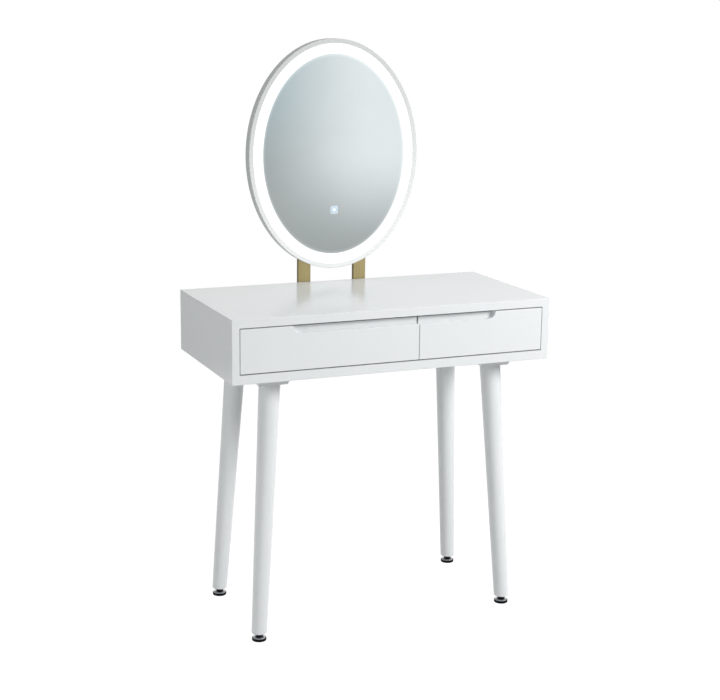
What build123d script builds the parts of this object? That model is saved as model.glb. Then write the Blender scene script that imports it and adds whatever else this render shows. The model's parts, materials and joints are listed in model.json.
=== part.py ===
from build123d import *

import os

# Driving dimensions, in millimetres. The front faces -Y and the floor is Z = 0.

# Carcass
table_width = 800.0
table_depth = 400.0
table_height = 782.0
carcass_height = 148.5
top_thickness = 20.0
bottom_thickness = 21.5
side_thickness = 18.0
divider_thickness = 15.0
divider_x = 57.0
back_thickness = 3.0
edge_round = 1.0

# Drawers
front_thickness = 18.0
front_side_gap = 1.6
front_top_gap = 2.5
front_bottom_gap = 2.5
front_round = 0.8
box_thickness = 12.0
box_height = 80.0
box_round = 1.0
box_rear_gap = 32.0
box_floor_gap = 5.0
tray_thickness = 4.0
tray_groove_depth = 6.0
tray_height = 8.0
groove_play = 0.2
notch_half_width = 255.0
notch_height = 18.0
notch_depth = 13.5
pull_lip = 6.5
pull_drop = 5.0
pull_wall_drop = 2.2
pull_wall_trim = 1.0

# Ball slides
slide_gap = 12.7
slide_height = 27.0
slide_sheet = 1.2
outer_rail_depth = 9.5
outer_rail_lip = 2.8
inner_rail_half_height = 8.0
inner_rail_start = 3.2
rail_setback = 2.0
slide_travel = 250.0
stop_play = 0.6
cage_start = 1.9
cage_depth = 5.5
cage_sheet = 0.6
cage_length = 110.0
cage_margin = 27.0
ball_radius = 1.85
ball_play = 0.2
ball_depth = 5.4
ball_spacing = 21.0
balls_in_row = 5

# Legs and feet
leg_top_side_inset = 115.0
leg_top_end_inset = 76.5
leg_foot_side_inset = 78.0
leg_foot_end_inset = 47.5
leg_top_radius = 25.3
leg_foot_radius = 18.3
leg_clearance = 18.5
leg_foot_round = 1.2
leg_block_width = 86.0
leg_block_depth = 66.0
leg_block_side_taper = 8.0
leg_block_end_taper = 6.0
leg_block_thickness = 20.0
leg_block_round = 1.0
foot_radius = 17.0
foot_rim = 3.2
foot_dome = 7.3
foot_dome_top_radius = 9.5
foot_shoulder_radius = 14.8
foot_shoulder_height = 8.36
foot_hex = 9.0
foot_hex_height = 5.5
foot_collar_radius = 5.5
foot_stud_radius = 4.0
foot_stud_length = 27.0
foot_stud_play = 0.25
foot_bore_play = 0.5
insert_radius = 6.5
insert_length = 15.0

# Mirror and its posts
mirror_half_width = 225.0
mirror_half_height = 284.0
mirror_gap = 33.0
mirror_depth = 26.0
frame_wall = 4.0
frame_round = 2.0
lip_width = 11.0
lip_thickness = 1.5
light_width = 26.0
glass_thickness = 4.0
glass_play = 0.4
backing_thickness = 6.0
led_channel_width = 10.0
led_channel_depth = 4.0
led_strip_width = 8.0
led_strip_thickness = 0.8
sensor_size = 22.0
sensor_thickness = 1.2
sensor_rise = 147.0
sensor_play = 0.5
post_spacing = 150.0
post_width = 33.0
post_depth = 12.0
post_wall = 1.2
post_corner = 1.44
post_rise = 60.0
post_notch_play = 2.0
post_notch_gap = 0.5
post_notch_height = 60.0
cap_lip = 2.0
cap_plug = 10.0
bracket_width = 18.0
bracket_reach = 16.0
bracket_screw_inset = 10.65
bracket_height = 9.0
bracket_sheet = 1.5
bracket_play = 0.25
driver_width = 80.0
driver_height = 46.0
driver_depth = 11.5
driver_wall = 1.6
driver_rise = 69.0
driver_ear = 9.0
inlet_width = 9.0
inlet_height = 4.0
inlet_length = 7.5
inlet_wall = 0.5
inlet_tongue_inset = 1.5
inlet_tongue_setback = 1.0

# Fasteners and cuts. A cut runs past the face that it opens by cut_over.
cut_over = 1.0
hole_play = 0.06
hole_spare = 0.4
dowel_radius = 4.0
dowel_in_board = 12.0
dowel_in_end = 18.0
carcass_dowel_share = 0.4
divider_dowel_shares = (-0.32, 0.38)
box_dowel_offsets = (-12.0, 22.0)
cam_radius = 7.5
cam_depth = 12.5
cam_distance = 24.0
cam_share = 0.28
cam_slot_width = 1.5
cam_slot_depth = 2.0
cam_bolt_radius = 3.5
cam_bolt_end_gap = 2.0
cam_thread_radius = 3.0
cam_thread_length = 11.0
post_screw_radius = 2.5
post_screw_head = 4.5
post_screw_head_height = 2.4
post_screw_bite = 30.0
post_screw_shares = (-0.7, -0.28)
post_screw_top_inset = 20.0
backing_screw_bite = 4.6
block_screw_radius = 2.0
block_screw_head = 4.0
block_screw_length = 34.0
block_screw_side_reach = 29.0
block_screw_end_reach = 21.0
hanger_radius = 4.0
hanger_in_leg = 32.0
hanger_in_block = 16.0
rail_screw_radius = 1.75
rail_screw_head = 3.4
cabinet_screw_length = 12.0
drawer_screw_length = 10.0
rail_screw_stagger = 14.0
rail_screw_shares = (0.08, 0.5, 0.9)
box_screw_radius = 2.0
box_screw_head = 3.8
box_screw_length = 38.0
box_screw_offsets = (-15.0, 15.0)
back_screw_radius = 1.5
back_screw_head = 3.5
back_screw_head_height = 1.8
back_screw_length = 15.0
back_screw_shares = (-0.45, -0.27, 0.0, 0.27, 0.45)
small_screw_radius = 1.5
small_screw_head = 2.8
small_screw_head_height = 1.8
small_screw_length = 4.5

# Levels worked out from the sizes above
carcass_bottom = table_height - carcass_height
bay_floor = carcass_bottom + bottom_thickness
bay_roof = table_height - top_thickness
leg_top = carcass_bottom - leg_block_thickness
mirror_z = table_height + mirror_gap + mirror_half_height
mirror_bottom = mirror_z - mirror_half_height
sensor_z = mirror_bottom + sensor_rise
driver_z = mirror_bottom + driver_rise
mirror_stack = lip_thickness + glass_thickness + backing_thickness
rear_reach = back_thickness - mirror_stack + mirror_depth
front_y = -(table_depth + rear_reach) / 2
rear_y = front_y + table_depth
post_y = rear_y + back_thickness
post_rear = post_y + post_depth
backing_y = post_y - backing_thickness
glass_y = backing_y - glass_thickness
mirror_y = glass_y - lip_thickness
mirror_rear = mirror_y + mirror_depth
inner_side = table_width / 2 - side_thickness
side_middle = table_width / 2 - side_thickness / 2
leg_top_x = table_width / 2 - leg_top_side_inset
leg_top_y = table_depth / 2 - leg_top_end_inset
leg_foot_x = table_width / 2 - leg_foot_side_inset
leg_foot_y = table_depth / 2 - leg_foot_end_inset
middle_y = (front_y + rear_y) / 2
box_bottom = bay_floor + box_floor_gap
box_front = front_y + front_thickness
box_rear = rear_y - box_rear_gap
box_length = box_rear - box_front
slide_z = box_bottom + box_height / 2
front_top = bay_roof - front_top_gap
front_bottom = bay_floor + front_bottom_gap
foot_pad_height = foot_rim + foot_dome
base = (Align.CENTER, Align.CENTER, Align.MIN)

carcass_dowel_rows = [middle_y + side * carcass_dowel_share * table_depth for side in (-1, 1)]
cam_rows = [middle_y + side * cam_share * table_depth for side in (-1, 1)]
cam_bolt_reach = cam_distance - cam_bolt_end_gap
divider_dowel_rows = [middle_y + share * table_depth for share in divider_dowel_shares]
box_dowel_levels = [slide_z + offset for offset in box_dowel_offsets]
box_screw_levels = [slide_z + offset for offset in box_screw_offsets]
rail_screw_rows = [box_front + share * box_length for share in rail_screw_shares]
post_top = mirror_z + post_rise
post_backing_levels = [mirror_z + share * mirror_half_height for share in post_screw_shares]
post_backing_levels.append(post_top - post_screw_top_inset)
post_board_levels = (carcass_bottom + bottom_thickness / 2, table_height - top_thickness / 2)
post_centres = (-post_spacing / 2, post_spacing / 2)
back_screw_columns = [share * table_width for share in back_screw_shares]
leg_corners = {
    "front_left": (-1, -1),
    "front_right": (1, -1),
    "rear_left": (-1, 1),
    "rear_right": (1, 1),
}


def write_piece(piece, name):
    """Label one finished piece and write it as its own STEP file."""
    piece.label = name
    export_step(piece, f"parts/{name}.step")


def upright(y):
    """The XZ plane at a distance y, seen from the front: extrude by a negative amount to go to the rear."""
    return Plane.XZ.offset(-y)


def slab(x, y, z, mode=Mode.ADD):
    """A box between a low and a high value on each axis."""
    with Locations(((x[0] + x[1]) / 2, (y[0] + y[1]) / 2, (z[0] + z[1]) / 2)):
        Box(x[1] - x[0], y[1] - y[0], z[1] - z[0], mode=mode)


def rod(start, direction, radius, length, mode=Mode.ADD):
    """A cylinder that starts at a point and runs along a direction."""
    with Locations(Plane(start, z_dir=direction)):
        Cylinder(radius, length, align=base, mode=mode)


def aimed(seats, direction):
    """Planes at a list of points that all face the same way."""
    return [Plane(seat, z_dir=direction) for seat in seats]


def cross_recess(head, depth):
    """Cut a crosshead recess into a screw head at Z = 0."""
    Box(head, head / 4, depth, mode=Mode.SUBTRACT)
    Box(head / 4, head, depth, mode=Mode.SUBTRACT)


def flat_screw(radius, head, head_height, length):
    """A countersunk screw that points up, with its flat head at Z = 0."""
    with BuildPart() as screw:
        Cone(head, radius, head_height, align=base)
        Cylinder(radius, length, align=base)
        cross_recess(head, head_height)
    return screw.part


def flat_screw_hole(seat, direction, radius, head, head_height, length):
    """The hole for a countersunk screw, a little larger than the screw."""
    with Locations(Plane(seat, z_dir=direction)):
        Cone(head + hole_play, radius + hole_play, head_height, align=base, mode=Mode.SUBTRACT)
        Cylinder(radius + hole_play, length + cut_over, align=base, mode=Mode.SUBTRACT)


def pan_screw(radius, head, head_height, length):
    """A screw that points up, with its round head below Z = 0 and its shank above."""
    with BuildPart() as screw:
        Cylinder(radius, length, align=base)
        with Locations((0, 0, -head_height)):
            Cylinder(head, head_height, align=base)
            cross_recess(head, head_height)
    return screw.part


def screw_hole(seat, direction, radius, length):
    """A plain hole for a shank that goes in from the seat, a little wider and deeper than the shank."""
    start = Vector(seat) - Vector(direction) * cut_over
    rod(start, direction, radius + hole_play, cut_over + length + hole_spare, mode=Mode.SUBTRACT)


def oval(inset):
    """The mirror's oval, drawn in from its outer edge by an inset."""
    with Locations((0, mirror_z)):
        Ellipse(mirror_half_width - inset, mirror_half_height - inset)


def oval_hole(inset):
    """An oval opening, drawn in from the mirror's outer edge by an inset."""
    with Locations((0, mirror_z)):
        Ellipse(mirror_half_width - inset, mirror_half_height - inset, mode=Mode.SUBTRACT)


def side_joint_points(rows):
    """Where fittings sit in the ends of the two side panels: x, y and which end."""
    return [
        (side * side_middle, row, end)
        for side in (-1, 1)
        for row in rows
        for end in (-1, 1)
    ]


def joint_level(end):
    """The height of the joint between an upright panel and the top (1) or bottom (-1) board."""
    return bay_roof if end > 0 else bay_floor


def dowel_points():
    """Every carcass dowel: x, y and which end of its upright panel."""
    divider = [(divider_x, row, end) for row in divider_dowel_rows for end in (-1, 1)]
    return side_joint_points(carcass_dowel_rows) + divider


def drill_board(end):
    """Drill the top (1) or bottom (-1) board for dowels, cam bolts and the posts' screws."""
    for x, y, at in dowel_points():
        if at == end:
            screw_hole((x, y, joint_level(end)), (0, 0, end), dowel_radius, dowel_in_board)
    for x, y, at in side_joint_points(cam_rows):
        if at == end:
            screw_hole((x, y, joint_level(end)), (0, 0, end), cam_thread_radius, cam_thread_length)
    for x in post_centres:
        level = post_board_levels[1] if end > 0 else post_board_levels[0]
        screw_hole((x, rear_y, level), (0, -1, 0), post_screw_radius, post_screw_bite)
    for x in back_screw_columns:
        level = post_board_levels[1] if end > 0 else post_board_levels[0]
        screw_hole((x, rear_y, level), (0, -1, 0), back_screw_radius, back_screw_length - back_thickness)


def block_screw_points(sx, sy):
    """The four screws of one leg's mounting block, as x and y."""
    x, y = sx * leg_top_x, sy * leg_top_y + middle_y
    columns = (x - block_screw_side_reach, x + block_screw_side_reach)
    rows = (y - block_screw_end_reach, y + block_screw_end_reach)
    return [(column, row) for column in columns for row in rows]


os.makedirs("parts", exist_ok=True)

# Carcass boards
with BuildPart() as top_panel:
    slab((-table_width / 2, table_width / 2), (front_y, rear_y), (bay_roof, table_height))
    outer_edges = top_panel.faces().sort_by(Axis.Z)[-1].edges() + top_panel.edges().filter_by(Axis.Z)
    fillet(outer_edges, radius=edge_round)
    drill_board(1)
write_piece(top_panel.part, "top_panel")

with BuildPart() as bottom_panel:
    slab((-table_width / 2, table_width / 2), (front_y, rear_y), (carcass_bottom, bay_floor))
    outer_edges = bottom_panel.faces().sort_by(Axis.Z)[0].edges() + bottom_panel.edges().filter_by(Axis.Z)
    fillet(outer_edges, radius=edge_round)
    drill_board(-1)
    for sx, sy in leg_corners.values():
        for x, y in block_screw_points(sx, sy):
            bite = block_screw_length - leg_block_thickness
            screw_hole((x, y, carcass_bottom), (0, 0, 1), block_screw_radius, bite)
write_piece(bottom_panel.part, "bottom_panel")

for side_name, side in (("left", -1), ("right", 1)):
    with BuildPart() as side_panel:
        faces_x = sorted((side * inner_side, side * table_width / 2))
        slab(faces_x, (front_y, rear_y), (bay_floor, bay_roof))
        outer_face = side_panel.faces().sort_by(Axis.X)[0 if side < 0 else -1]
        fillet(outer_face.edges().filter_by(Axis.Z), radius=edge_round)
        for x, y, end in side_joint_points(carcass_dowel_rows):
            if x * side > 0:
                screw_hole((x, y, joint_level(end)), (0, 0, -end), dowel_radius, dowel_in_end)
        for x, y, end in side_joint_points(cam_rows):
            if x * side > 0:
                screw_hole((x, y, joint_level(end)), (0, 0, -end), cam_bolt_radius, cam_bolt_reach)
                centre = (side * inner_side, y, joint_level(end) - end * cam_distance)
                screw_hole(centre, (side, 0, 0), cam_radius, cam_depth)
        for y in rail_screw_rows:
            screw_hole((side * inner_side, y, slide_z), (side, 0, 0), rail_screw_radius, cabinet_screw_length)
        screw_hole(
            (side * side_middle, rear_y, slide_z),
            (0, -1, 0),
            back_screw_radius,
            back_screw_length - back_thickness,
        )
    write_piece(side_panel.part, f"{side_name}_side_panel")

divider_faces = (divider_x - divider_thickness / 2, divider_x + divider_thickness / 2)
with BuildPart() as centre_divider:
    slab(divider_faces, (box_front + rail_setback, rear_y), (bay_floor, bay_roof))
    for row in divider_dowel_rows:
        for end in (-1, 1):
            screw_hole((divider_x, row, joint_level(end)), (0, 0, -end), dowel_radius, dowel_in_end)
    for y in rail_screw_rows:
        screw_hole((divider_faces[0], y, slide_z), (1, 0, 0), rail_screw_radius, cabinet_screw_length)
        seat = (divider_faces[1], y + rail_screw_stagger, slide_z)
        screw_hole(seat, (-1, 0, 0), rail_screw_radius, cabinet_screw_length)
write_piece(centre_divider.part, "centre_divider")

back_screw_points = [(x, level) for x in back_screw_columns for level in post_board_levels]
back_screw_points += [(side * side_middle, slide_z) for side in (-1, 1)]
with BuildPart() as back_panel:
    slab(
        (-table_width / 2 + edge_round, table_width / 2 - edge_round),
        (rear_y, post_y),
        (carcass_bottom + edge_round, table_height - edge_round),
    )
    for x, z in back_screw_points:
        screw_hole((x, post_y, z), (0, -1, 0), back_screw_radius, back_thickness)
    for x in post_centres:
        for z in post_board_levels:
            screw_hole((x, post_y, z), (0, -1, 0), post_screw_radius, back_thickness)
write_piece(back_panel.part, "back_panel")

# Carcass fasteners
with BuildPart() as carcass_dowels:
    for x, y, end in dowel_points():
        start = (x, y, joint_level(end) + end * dowel_in_board)
        rod(start, (0, 0, -end), dowel_radius, dowel_in_board + dowel_in_end)
write_piece(carcass_dowels.part, "carcass_dowels")

with BuildPart() as cam_bolts:
    for x, y, end in side_joint_points(cam_rows):
        rod((x, y, joint_level(end)), (0, 0, end), cam_thread_radius, cam_thread_length)
        rod((x, y, joint_level(end)), (0, 0, -end), cam_bolt_radius, cam_bolt_reach)
write_piece(cam_bolts.part, "cam_bolts")

with BuildPart() as cam_locks:
    for x, y, end in side_joint_points(cam_rows):
        side = 1 if x > 0 else -1
        centre_z = joint_level(end) - end * cam_distance
        rod((side * inner_side, y, centre_z), (side, 0, 0), cam_radius, cam_depth)
        bore = cam_bolt_radius + hole_play
        rod((x, y, centre_z), (0, 0, end), bore, cam_radius + cut_over, mode=Mode.SUBTRACT)
        with Locations(Plane((side * inner_side, y, centre_z), z_dir=(side, 0, 0))):
            Box(cam_radius, cam_slot_width, cam_slot_depth, align=base, mode=Mode.SUBTRACT)
            Box(cam_slot_width, cam_radius, cam_slot_depth, align=base, mode=Mode.SUBTRACT)
write_piece(cam_locks.part, "cam_locks")

back_screw = pan_screw(back_screw_radius, back_screw_head, back_screw_head_height, back_screw_length)
with BuildPart() as back_panel_screws:
    with Locations(*aimed([(x, post_y, z) for x, z in back_screw_points], (0, -1, 0))):
        add(back_screw)
write_piece(back_panel_screws.part, "back_panel_screws")

# Legs, their mounting blocks and the levelling feet
block_screw_taper = block_screw_head - block_screw_radius
block_screw_sizes = (block_screw_radius, block_screw_head, block_screw_taper, block_screw_length)
for corner, (sx, sy) in leg_corners.items():
    top_centre = (sx * leg_top_x, sy * leg_top_y + middle_y)
    foot_centre = (sx * leg_foot_x, sy * leg_foot_y + middle_y)
    with BuildPart() as leg:
        with BuildSketch(Plane.XY.offset(leg_clearance)):
            with Locations(foot_centre):
                Circle(leg_foot_radius)
        with BuildSketch(Plane.XY.offset(leg_top)):
            with Locations(top_centre):
                Circle(leg_top_radius)
        loft()
        fillet(leg.faces().sort_by(Axis.Z)[0].edges(), radius=leg_foot_round)
        screw_hole((*top_centre, leg_top), (0, 0, -1), hanger_radius, hanger_in_leg)
        screw_hole((*foot_centre, leg_clearance), (0, 0, 1), insert_radius, insert_length)
        bore = foot_stud_radius + foot_bore_play
        screw_hole((*foot_centre, leg_clearance), (0, 0, 1), bore, foot_stud_length)
    write_piece(leg.part, f"{corner}_leg")

    with BuildPart() as leg_block:
        with BuildSketch(Plane.XY.offset(leg_top)):
            with Locations(top_centre):
                Rectangle(
                    leg_block_width - 2 * leg_block_side_taper,
                    leg_block_depth - 2 * leg_block_end_taper,
                )
        with BuildSketch(Plane.XY.offset(carcass_bottom)):
            with Locations(top_centre):
                Rectangle(leg_block_width, leg_block_depth)
        loft()
        top_edges = leg_block.faces().sort_by(Axis.Z)[-1].edges()
        shown_edges = [edge for edge in leg_block.edges() if edge not in top_edges]
        fillet(shown_edges, radius=leg_block_round)
        for x, y in block_screw_points(sx, sy):
            flat_screw_hole((x, y, leg_top), (0, 0, 1), *block_screw_sizes)
        screw_hole((*top_centre, leg_top), (0, 0, 1), hanger_radius, hanger_in_block)
    write_piece(leg_block.part, f"{corner}_leg_block")

    with BuildPart() as foot:
        with BuildSketch(Plane.XZ):
            with BuildLine():
                Polyline((0, 0), (foot_radius, 0), (foot_radius, foot_rim))
                ThreePointArc(
                    (foot_radius, foot_rim),
                    (foot_shoulder_radius, foot_shoulder_height),
                    (foot_dome_top_radius, foot_pad_height),
                )
                Polyline((foot_dome_top_radius, foot_pad_height), (0, foot_pad_height), (0, 0))
            make_face()
        revolve(axis=Axis.Z)
        with BuildSketch(Plane.XY.offset(foot_pad_height)):
            RegularPolygon(foot_hex, 6)
        extrude(amount=foot_hex_height)
        collar_start = foot_pad_height + foot_hex_height
        rod((0, 0, collar_start), (0, 0, 1), foot_collar_radius, leg_clearance - collar_start)
        rod((0, 0, leg_clearance), (0, 0, 1), foot_stud_radius, foot_stud_length)
    write_piece(foot.part.moved(Location((*foot_centre, 0))), f"{corner}_levelling_foot")

block_screw = flat_screw(*block_screw_sizes)
block_screw_seats = [
    (x, y, leg_top) for sx, sy in leg_corners.values() for x, y in block_screw_points(sx, sy)
]
with BuildPart() as leg_block_screws:
    with Locations(*aimed(block_screw_seats, (0, 0, 1))):
        add(block_screw)
write_piece(leg_block_screws.part, "leg_block_screws")

with BuildPart() as leg_hanger_bolts:
    for sx, sy in leg_corners.values():
        start = (sx * leg_top_x, sy * leg_top_y + middle_y, leg_top - hanger_in_leg)
        rod(start, (0, 0, 1), hanger_radius, hanger_in_leg + hanger_in_block)
write_piece(leg_hanger_bolts.part, "leg_hanger_bolts")

with BuildPart() as foot_inserts:
    for sx, sy in leg_corners.values():
        start = (sx * leg_foot_x, sy * leg_foot_y + middle_y, leg_clearance)
        rod(start, (0, 0, 1), insert_radius, insert_length)
        rod(start, (0, 0, 1), foot_stud_radius + foot_stud_play, insert_length, mode=Mode.SUBTRACT)
write_piece(foot_inserts.part, "foot_inserts")


def rail_profile(points, wall_x, side):
    """Place a slide's section: distances out from the wall and up from the slide's centre."""
    return [(wall_x + side * out, slide_z + up) for out, up in points]


def outer_rail_section():
    """The C-shaped channel that is screwed to the carcass, with lips that hold the balls in."""
    half = slide_height / 2
    inside = half - slide_sheet
    lip = outer_rail_depth - slide_sheet
    upper = [
        (outer_rail_depth, inside - outer_rail_lip),
        (outer_rail_depth, half),
        (0, half),
    ]
    inner = [
        (slide_sheet, inside),
        (lip, inside),
        (lip, inside - outer_rail_lip),
    ]
    lower = [(out, -up) for out, up in reversed(upper)]
    inner_lower = [(out, -up) for out, up in reversed(inner)]
    return upper + lower + inner_lower + inner


def inner_rail_section():
    """The smaller channel that is screwed to the drawer, open to the carcass."""
    half = inner_rail_half_height
    inside = half - slide_sheet
    web = slide_gap - slide_sheet
    return [
        (inner_rail_start, half),
        (slide_gap, half),
        (slide_gap, -half),
        (inner_rail_start, -half),
        (inner_rail_start, -inside),
        (web, -inside),
        (web, inside),
        (inner_rail_start, inside),
    ]


def ball_level():
    """The height of a row of balls above the slide's centre: half way between the two rails."""
    return (slide_height / 2 - slide_sheet + inner_rail_half_height) / 2


def cage_section():
    """The thin strip between the rails that keeps the balls apart."""
    outer = ball_level() + cage_sheet / 2
    inner = ball_level() - cage_sheet / 2
    end = cage_start + cage_depth
    web = cage_start + cage_sheet
    return [
        (end, outer),
        (cage_start, outer),
        (cage_start, -outer),
        (end, -outer),
        (end, -inner),
        (web, -inner),
        (web, inner),
        (end, inner),
    ]


def bay_walls(bay):
    """The two walls of a bay, each with the direction that points into the bay."""
    return ((bay[0], 1), (bay[1], -1))


def rail_rows(wall_x):
    """The screw rows of the slide on a wall, staggered on the divider's right face."""
    shift = rail_screw_stagger if wall_x == divider_faces[1] else 0
    return [row + shift for row in rail_screw_rows]


bays = {
    "left": (-inner_side, divider_faces[0]),
    "right": (divider_faces[1], inner_side),
}
fronts = {
    "left": (-inner_side + front_side_gap, divider_x - front_side_gap / 2),
    "right": (divider_x + front_side_gap / 2, inner_side - front_side_gap),
}
rail_front = box_front + rail_setback

rail_screw_sizes = (rail_screw_radius, rail_screw_head, slide_sheet)
rail_hole_sizes = (*rail_screw_sizes, slide_sheet)

# Carcass halves of the ball slides
for bay_name, bay in bays.items():
    with BuildPart() as cabinet_rails:
        for wall_x, side in bay_walls(bay):
            with BuildSketch(upright(rail_front)):
                with BuildLine():
                    Polyline(rail_profile(outer_rail_section(), wall_x, side), close=True)
                make_face()
            extrude(amount=-box_length)
            stop_x = sorted((wall_x, wall_x + side * outer_rail_depth))
            stop_y = (box_rear + stop_play, box_rear + stop_play + slide_sheet)
            half = slide_height / 2
            slab(stop_x, stop_y, (slide_z - half, slide_z + half))
            for y in rail_rows(wall_x):
                flat_screw_hole((wall_x + side * slide_sheet, y, slide_z), (-side, 0, 0), *rail_hole_sizes)
    write_piece(cabinet_rails.part, f"{bay_name}_bay_cabinet_rails")

cabinet_screw = flat_screw(*rail_screw_sizes, cabinet_screw_length)
with BuildPart() as cabinet_rail_screws:
    for bay in bays.values():
        for wall_x, side in bay_walls(bay):
            seats = [(wall_x + side * slide_sheet, y, slide_z) for y in rail_rows(wall_x)]
            with Locations(*aimed(seats, (-side, 0, 0))):
                add(cabinet_screw)
write_piece(cabinet_rail_screws.part, "cabinet_rail_screws")

# Ball cages, one pair to a drawer, with their balls
for bay_name, bay in bays.items():
    with BuildPart() as ball_cages:
        cage_front = box_front + slide_travel / 2 + cage_margin
        row_start = cage_front + (cage_length - ball_spacing * (balls_in_row - 1)) / 2
        for wall_x, side in bay_walls(bay):
            with BuildSketch(upright(cage_front)):
                with BuildLine():
                    Polyline(rail_profile(cage_section(), wall_x, side), close=True)
                make_face()
            extrude(amount=-cage_length)
            for row in (-1, 1):
                for number in range(balls_in_row):
                    centre = (
                        wall_x + side * ball_depth,
                        row_start + number * ball_spacing,
                        slide_z + row * ball_level(),
                    )
                    with Locations(centre):
                        Cylinder(ball_radius + ball_play, 2 * cage_sheet, mode=Mode.SUBTRACT)
                        Sphere(ball_radius)
    write_piece(ball_cages.part, f"{bay_name}_ball_cages")


box_screw_sizes = (box_screw_radius, box_screw_head, box_screw_head - box_screw_radius)
box_screw = flat_screw(*box_screw_sizes, box_screw_length)
drawer_rail_screw = flat_screw(*rail_screw_sizes, drawer_screw_length)


def drawer(name, bay, front, notch):
    """Make one drawer: its front with the finger notch, its box, its rails and its fasteners."""
    box = (bay[0] + slide_gap, bay[1] - slide_gap)
    box_top = box_bottom + box_height
    side_spans = {
        "left": (box[0], box[0] + box_thickness),
        "right": (box[1] - box_thickness, box[1]),
    }
    inside = (side_spans["left"][1], side_spans["right"][0])
    back_y = (box_rear - box_thickness, box_rear)
    tray_z = (box_bottom + tray_height, box_bottom + tray_height + tray_thickness)
    groove_z = (tray_z[0] - groove_play, tray_z[1] + groove_play)
    groove_x = (inside[0] - tray_groove_depth, inside[1] + tray_groove_depth)
    groove_y = (box_front - tray_groove_depth, back_y[0] + tray_groove_depth)

    with BuildPart() as drawer_front:
        slab(front, (front_y, box_front), (front_bottom, front_top))
        round_end, open_end = notch
        inward = 1 if open_end > round_end else -1
        floor = front_top - notch_height
        run_out = open_end + inward * cut_over
        with BuildSketch(upright(front_y)) as notch_sketch:
            with BuildLine():
                RadiusArc(
                    (round_end, front_top),
                    (round_end + inward * notch_height, floor),
                    -inward * notch_height,
                )
                Polyline(
                    (round_end + inward * notch_height, floor),
                    (run_out, floor),
                    (run_out, front_top + cut_over),
                    (round_end, front_top + cut_over),
                    (round_end, front_top),
                )
            make_face()
        extrude(notch_sketch.sketch, amount=-notch_depth, mode=Mode.SUBTRACT)
        fillet(drawer_front.faces().sort_by(Axis.Y)[0].edges(), radius=front_round)
        wall_y = (front_y + notch_depth - cut_over, box_front + cut_over)
        wall_top = (front_top - pull_wall_drop, front_top + cut_over)
        slab(sorted((round_end, run_out)), wall_y, wall_top, mode=Mode.SUBTRACT)
        wall_end = sorted((open_end - inward * pull_wall_trim, run_out))
        slab(wall_end, wall_y, (floor, front_top + cut_over), mode=Mode.SUBTRACT)
        pull_x = sorted((round_end + inward * notch_height, run_out))
        slab(
            pull_x,
            (front_y + pull_lip, front_y + notch_depth),
            (floor - pull_drop, floor + cut_over),
            mode=Mode.SUBTRACT,
        )
        slab(groove_x, (groove_y[0], box_front + cut_over), groove_z, mode=Mode.SUBTRACT)
        for span in side_spans.values():
            for z in box_dowel_levels:
                centre = (sum(span) / 2, box_front, z)
                screw_hole(centre, (0, -1, 0), dowel_radius, dowel_in_board)
    write_piece(drawer_front.part, f"{name}_drawer_front")

    for side_name, span in side_spans.items():
        outside, into = (span[0], 1) if side_name == "left" else (span[1], -1)
        with BuildPart() as drawer_side:
            slab(span, (box_front, box_rear), (box_bottom, box_top))
            fillet(drawer_side.faces().sort_by(Axis.Z)[-1].edges().filter_by(Axis.Y), radius=box_round)
            inner = outside + into * box_thickness
            groove_span = sorted((inner - into * tray_groove_depth, inner + into * cut_over))
            slab(groove_span, (box_front - cut_over, groove_y[1]), groove_z, mode=Mode.SUBTRACT)
            for z in box_dowel_levels:
                screw_hole((sum(span) / 2, box_front, z), (0, 1, 0), dowel_radius, dowel_in_end)
            for z in box_screw_levels:
                seat = (outside, sum(back_y) / 2, z)
                flat_screw_hole(seat, (into, 0, 0), *box_screw_sizes, box_thickness)
            for y in rail_screw_rows:
                screw_hole((outside, y, slide_z), (into, 0, 0), rail_screw_radius, drawer_screw_length)
        write_piece(drawer_side.part, f"{name}_drawer_{side_name}_side")

    with BuildPart() as drawer_back:
        slab(inside, back_y, (box_bottom, box_top))
        fillet(drawer_back.faces().sort_by(Axis.Z)[-1].edges().filter_by(Axis.X), radius=box_round)
        slab(
            (inside[0] - cut_over, inside[1] + cut_over),
            (back_y[0] - cut_over, groove_y[1]),
            groove_z,
            mode=Mode.SUBTRACT,
        )
        for end_x, into in ((inside[0], 1), (inside[1], -1)):
            for z in box_screw_levels:
                centre = (end_x, sum(back_y) / 2, z)
                screw_hole(centre, (into, 0, 0), box_screw_radius, box_screw_length - box_thickness)
    write_piece(drawer_back.part, f"{name}_drawer_back")

    with BuildPart() as drawer_bottom:
        slab(
            (groove_x[0] + groove_play, groove_x[1] - groove_play),
            (groove_y[0] + groove_play, groove_y[1] - groove_play),
            tray_z,
        )
    write_piece(drawer_bottom.part, f"{name}_drawer_bottom")

    with BuildPart() as drawer_dowels:
        for span in side_spans.values():
            for z in box_dowel_levels:
                start = (sum(span) / 2, box_front - dowel_in_board, z)
                rod(start, (0, 1, 0), dowel_radius, dowel_in_board + dowel_in_end)
    write_piece(drawer_dowels.part, f"{name}_drawer_dowels")

    with BuildPart() as drawer_rails:
        for wall_x, side in bay_walls(bay):
            with BuildSketch(upright(rail_front)) as rail_sketch:
                with BuildLine():
                    Polyline(rail_profile(inner_rail_section(), wall_x, side), close=True)
                make_face()
            extrude(rail_sketch.sketch, amount=-(box_rear - rail_front))
            for y in rail_screw_rows:
                seat = (wall_x + side * (slide_gap - slide_sheet), y, slide_z)
                flat_screw_hole(seat, (side, 0, 0), *rail_hole_sizes)
    write_piece(drawer_rails.part, f"{name}_drawer_rails")

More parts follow.
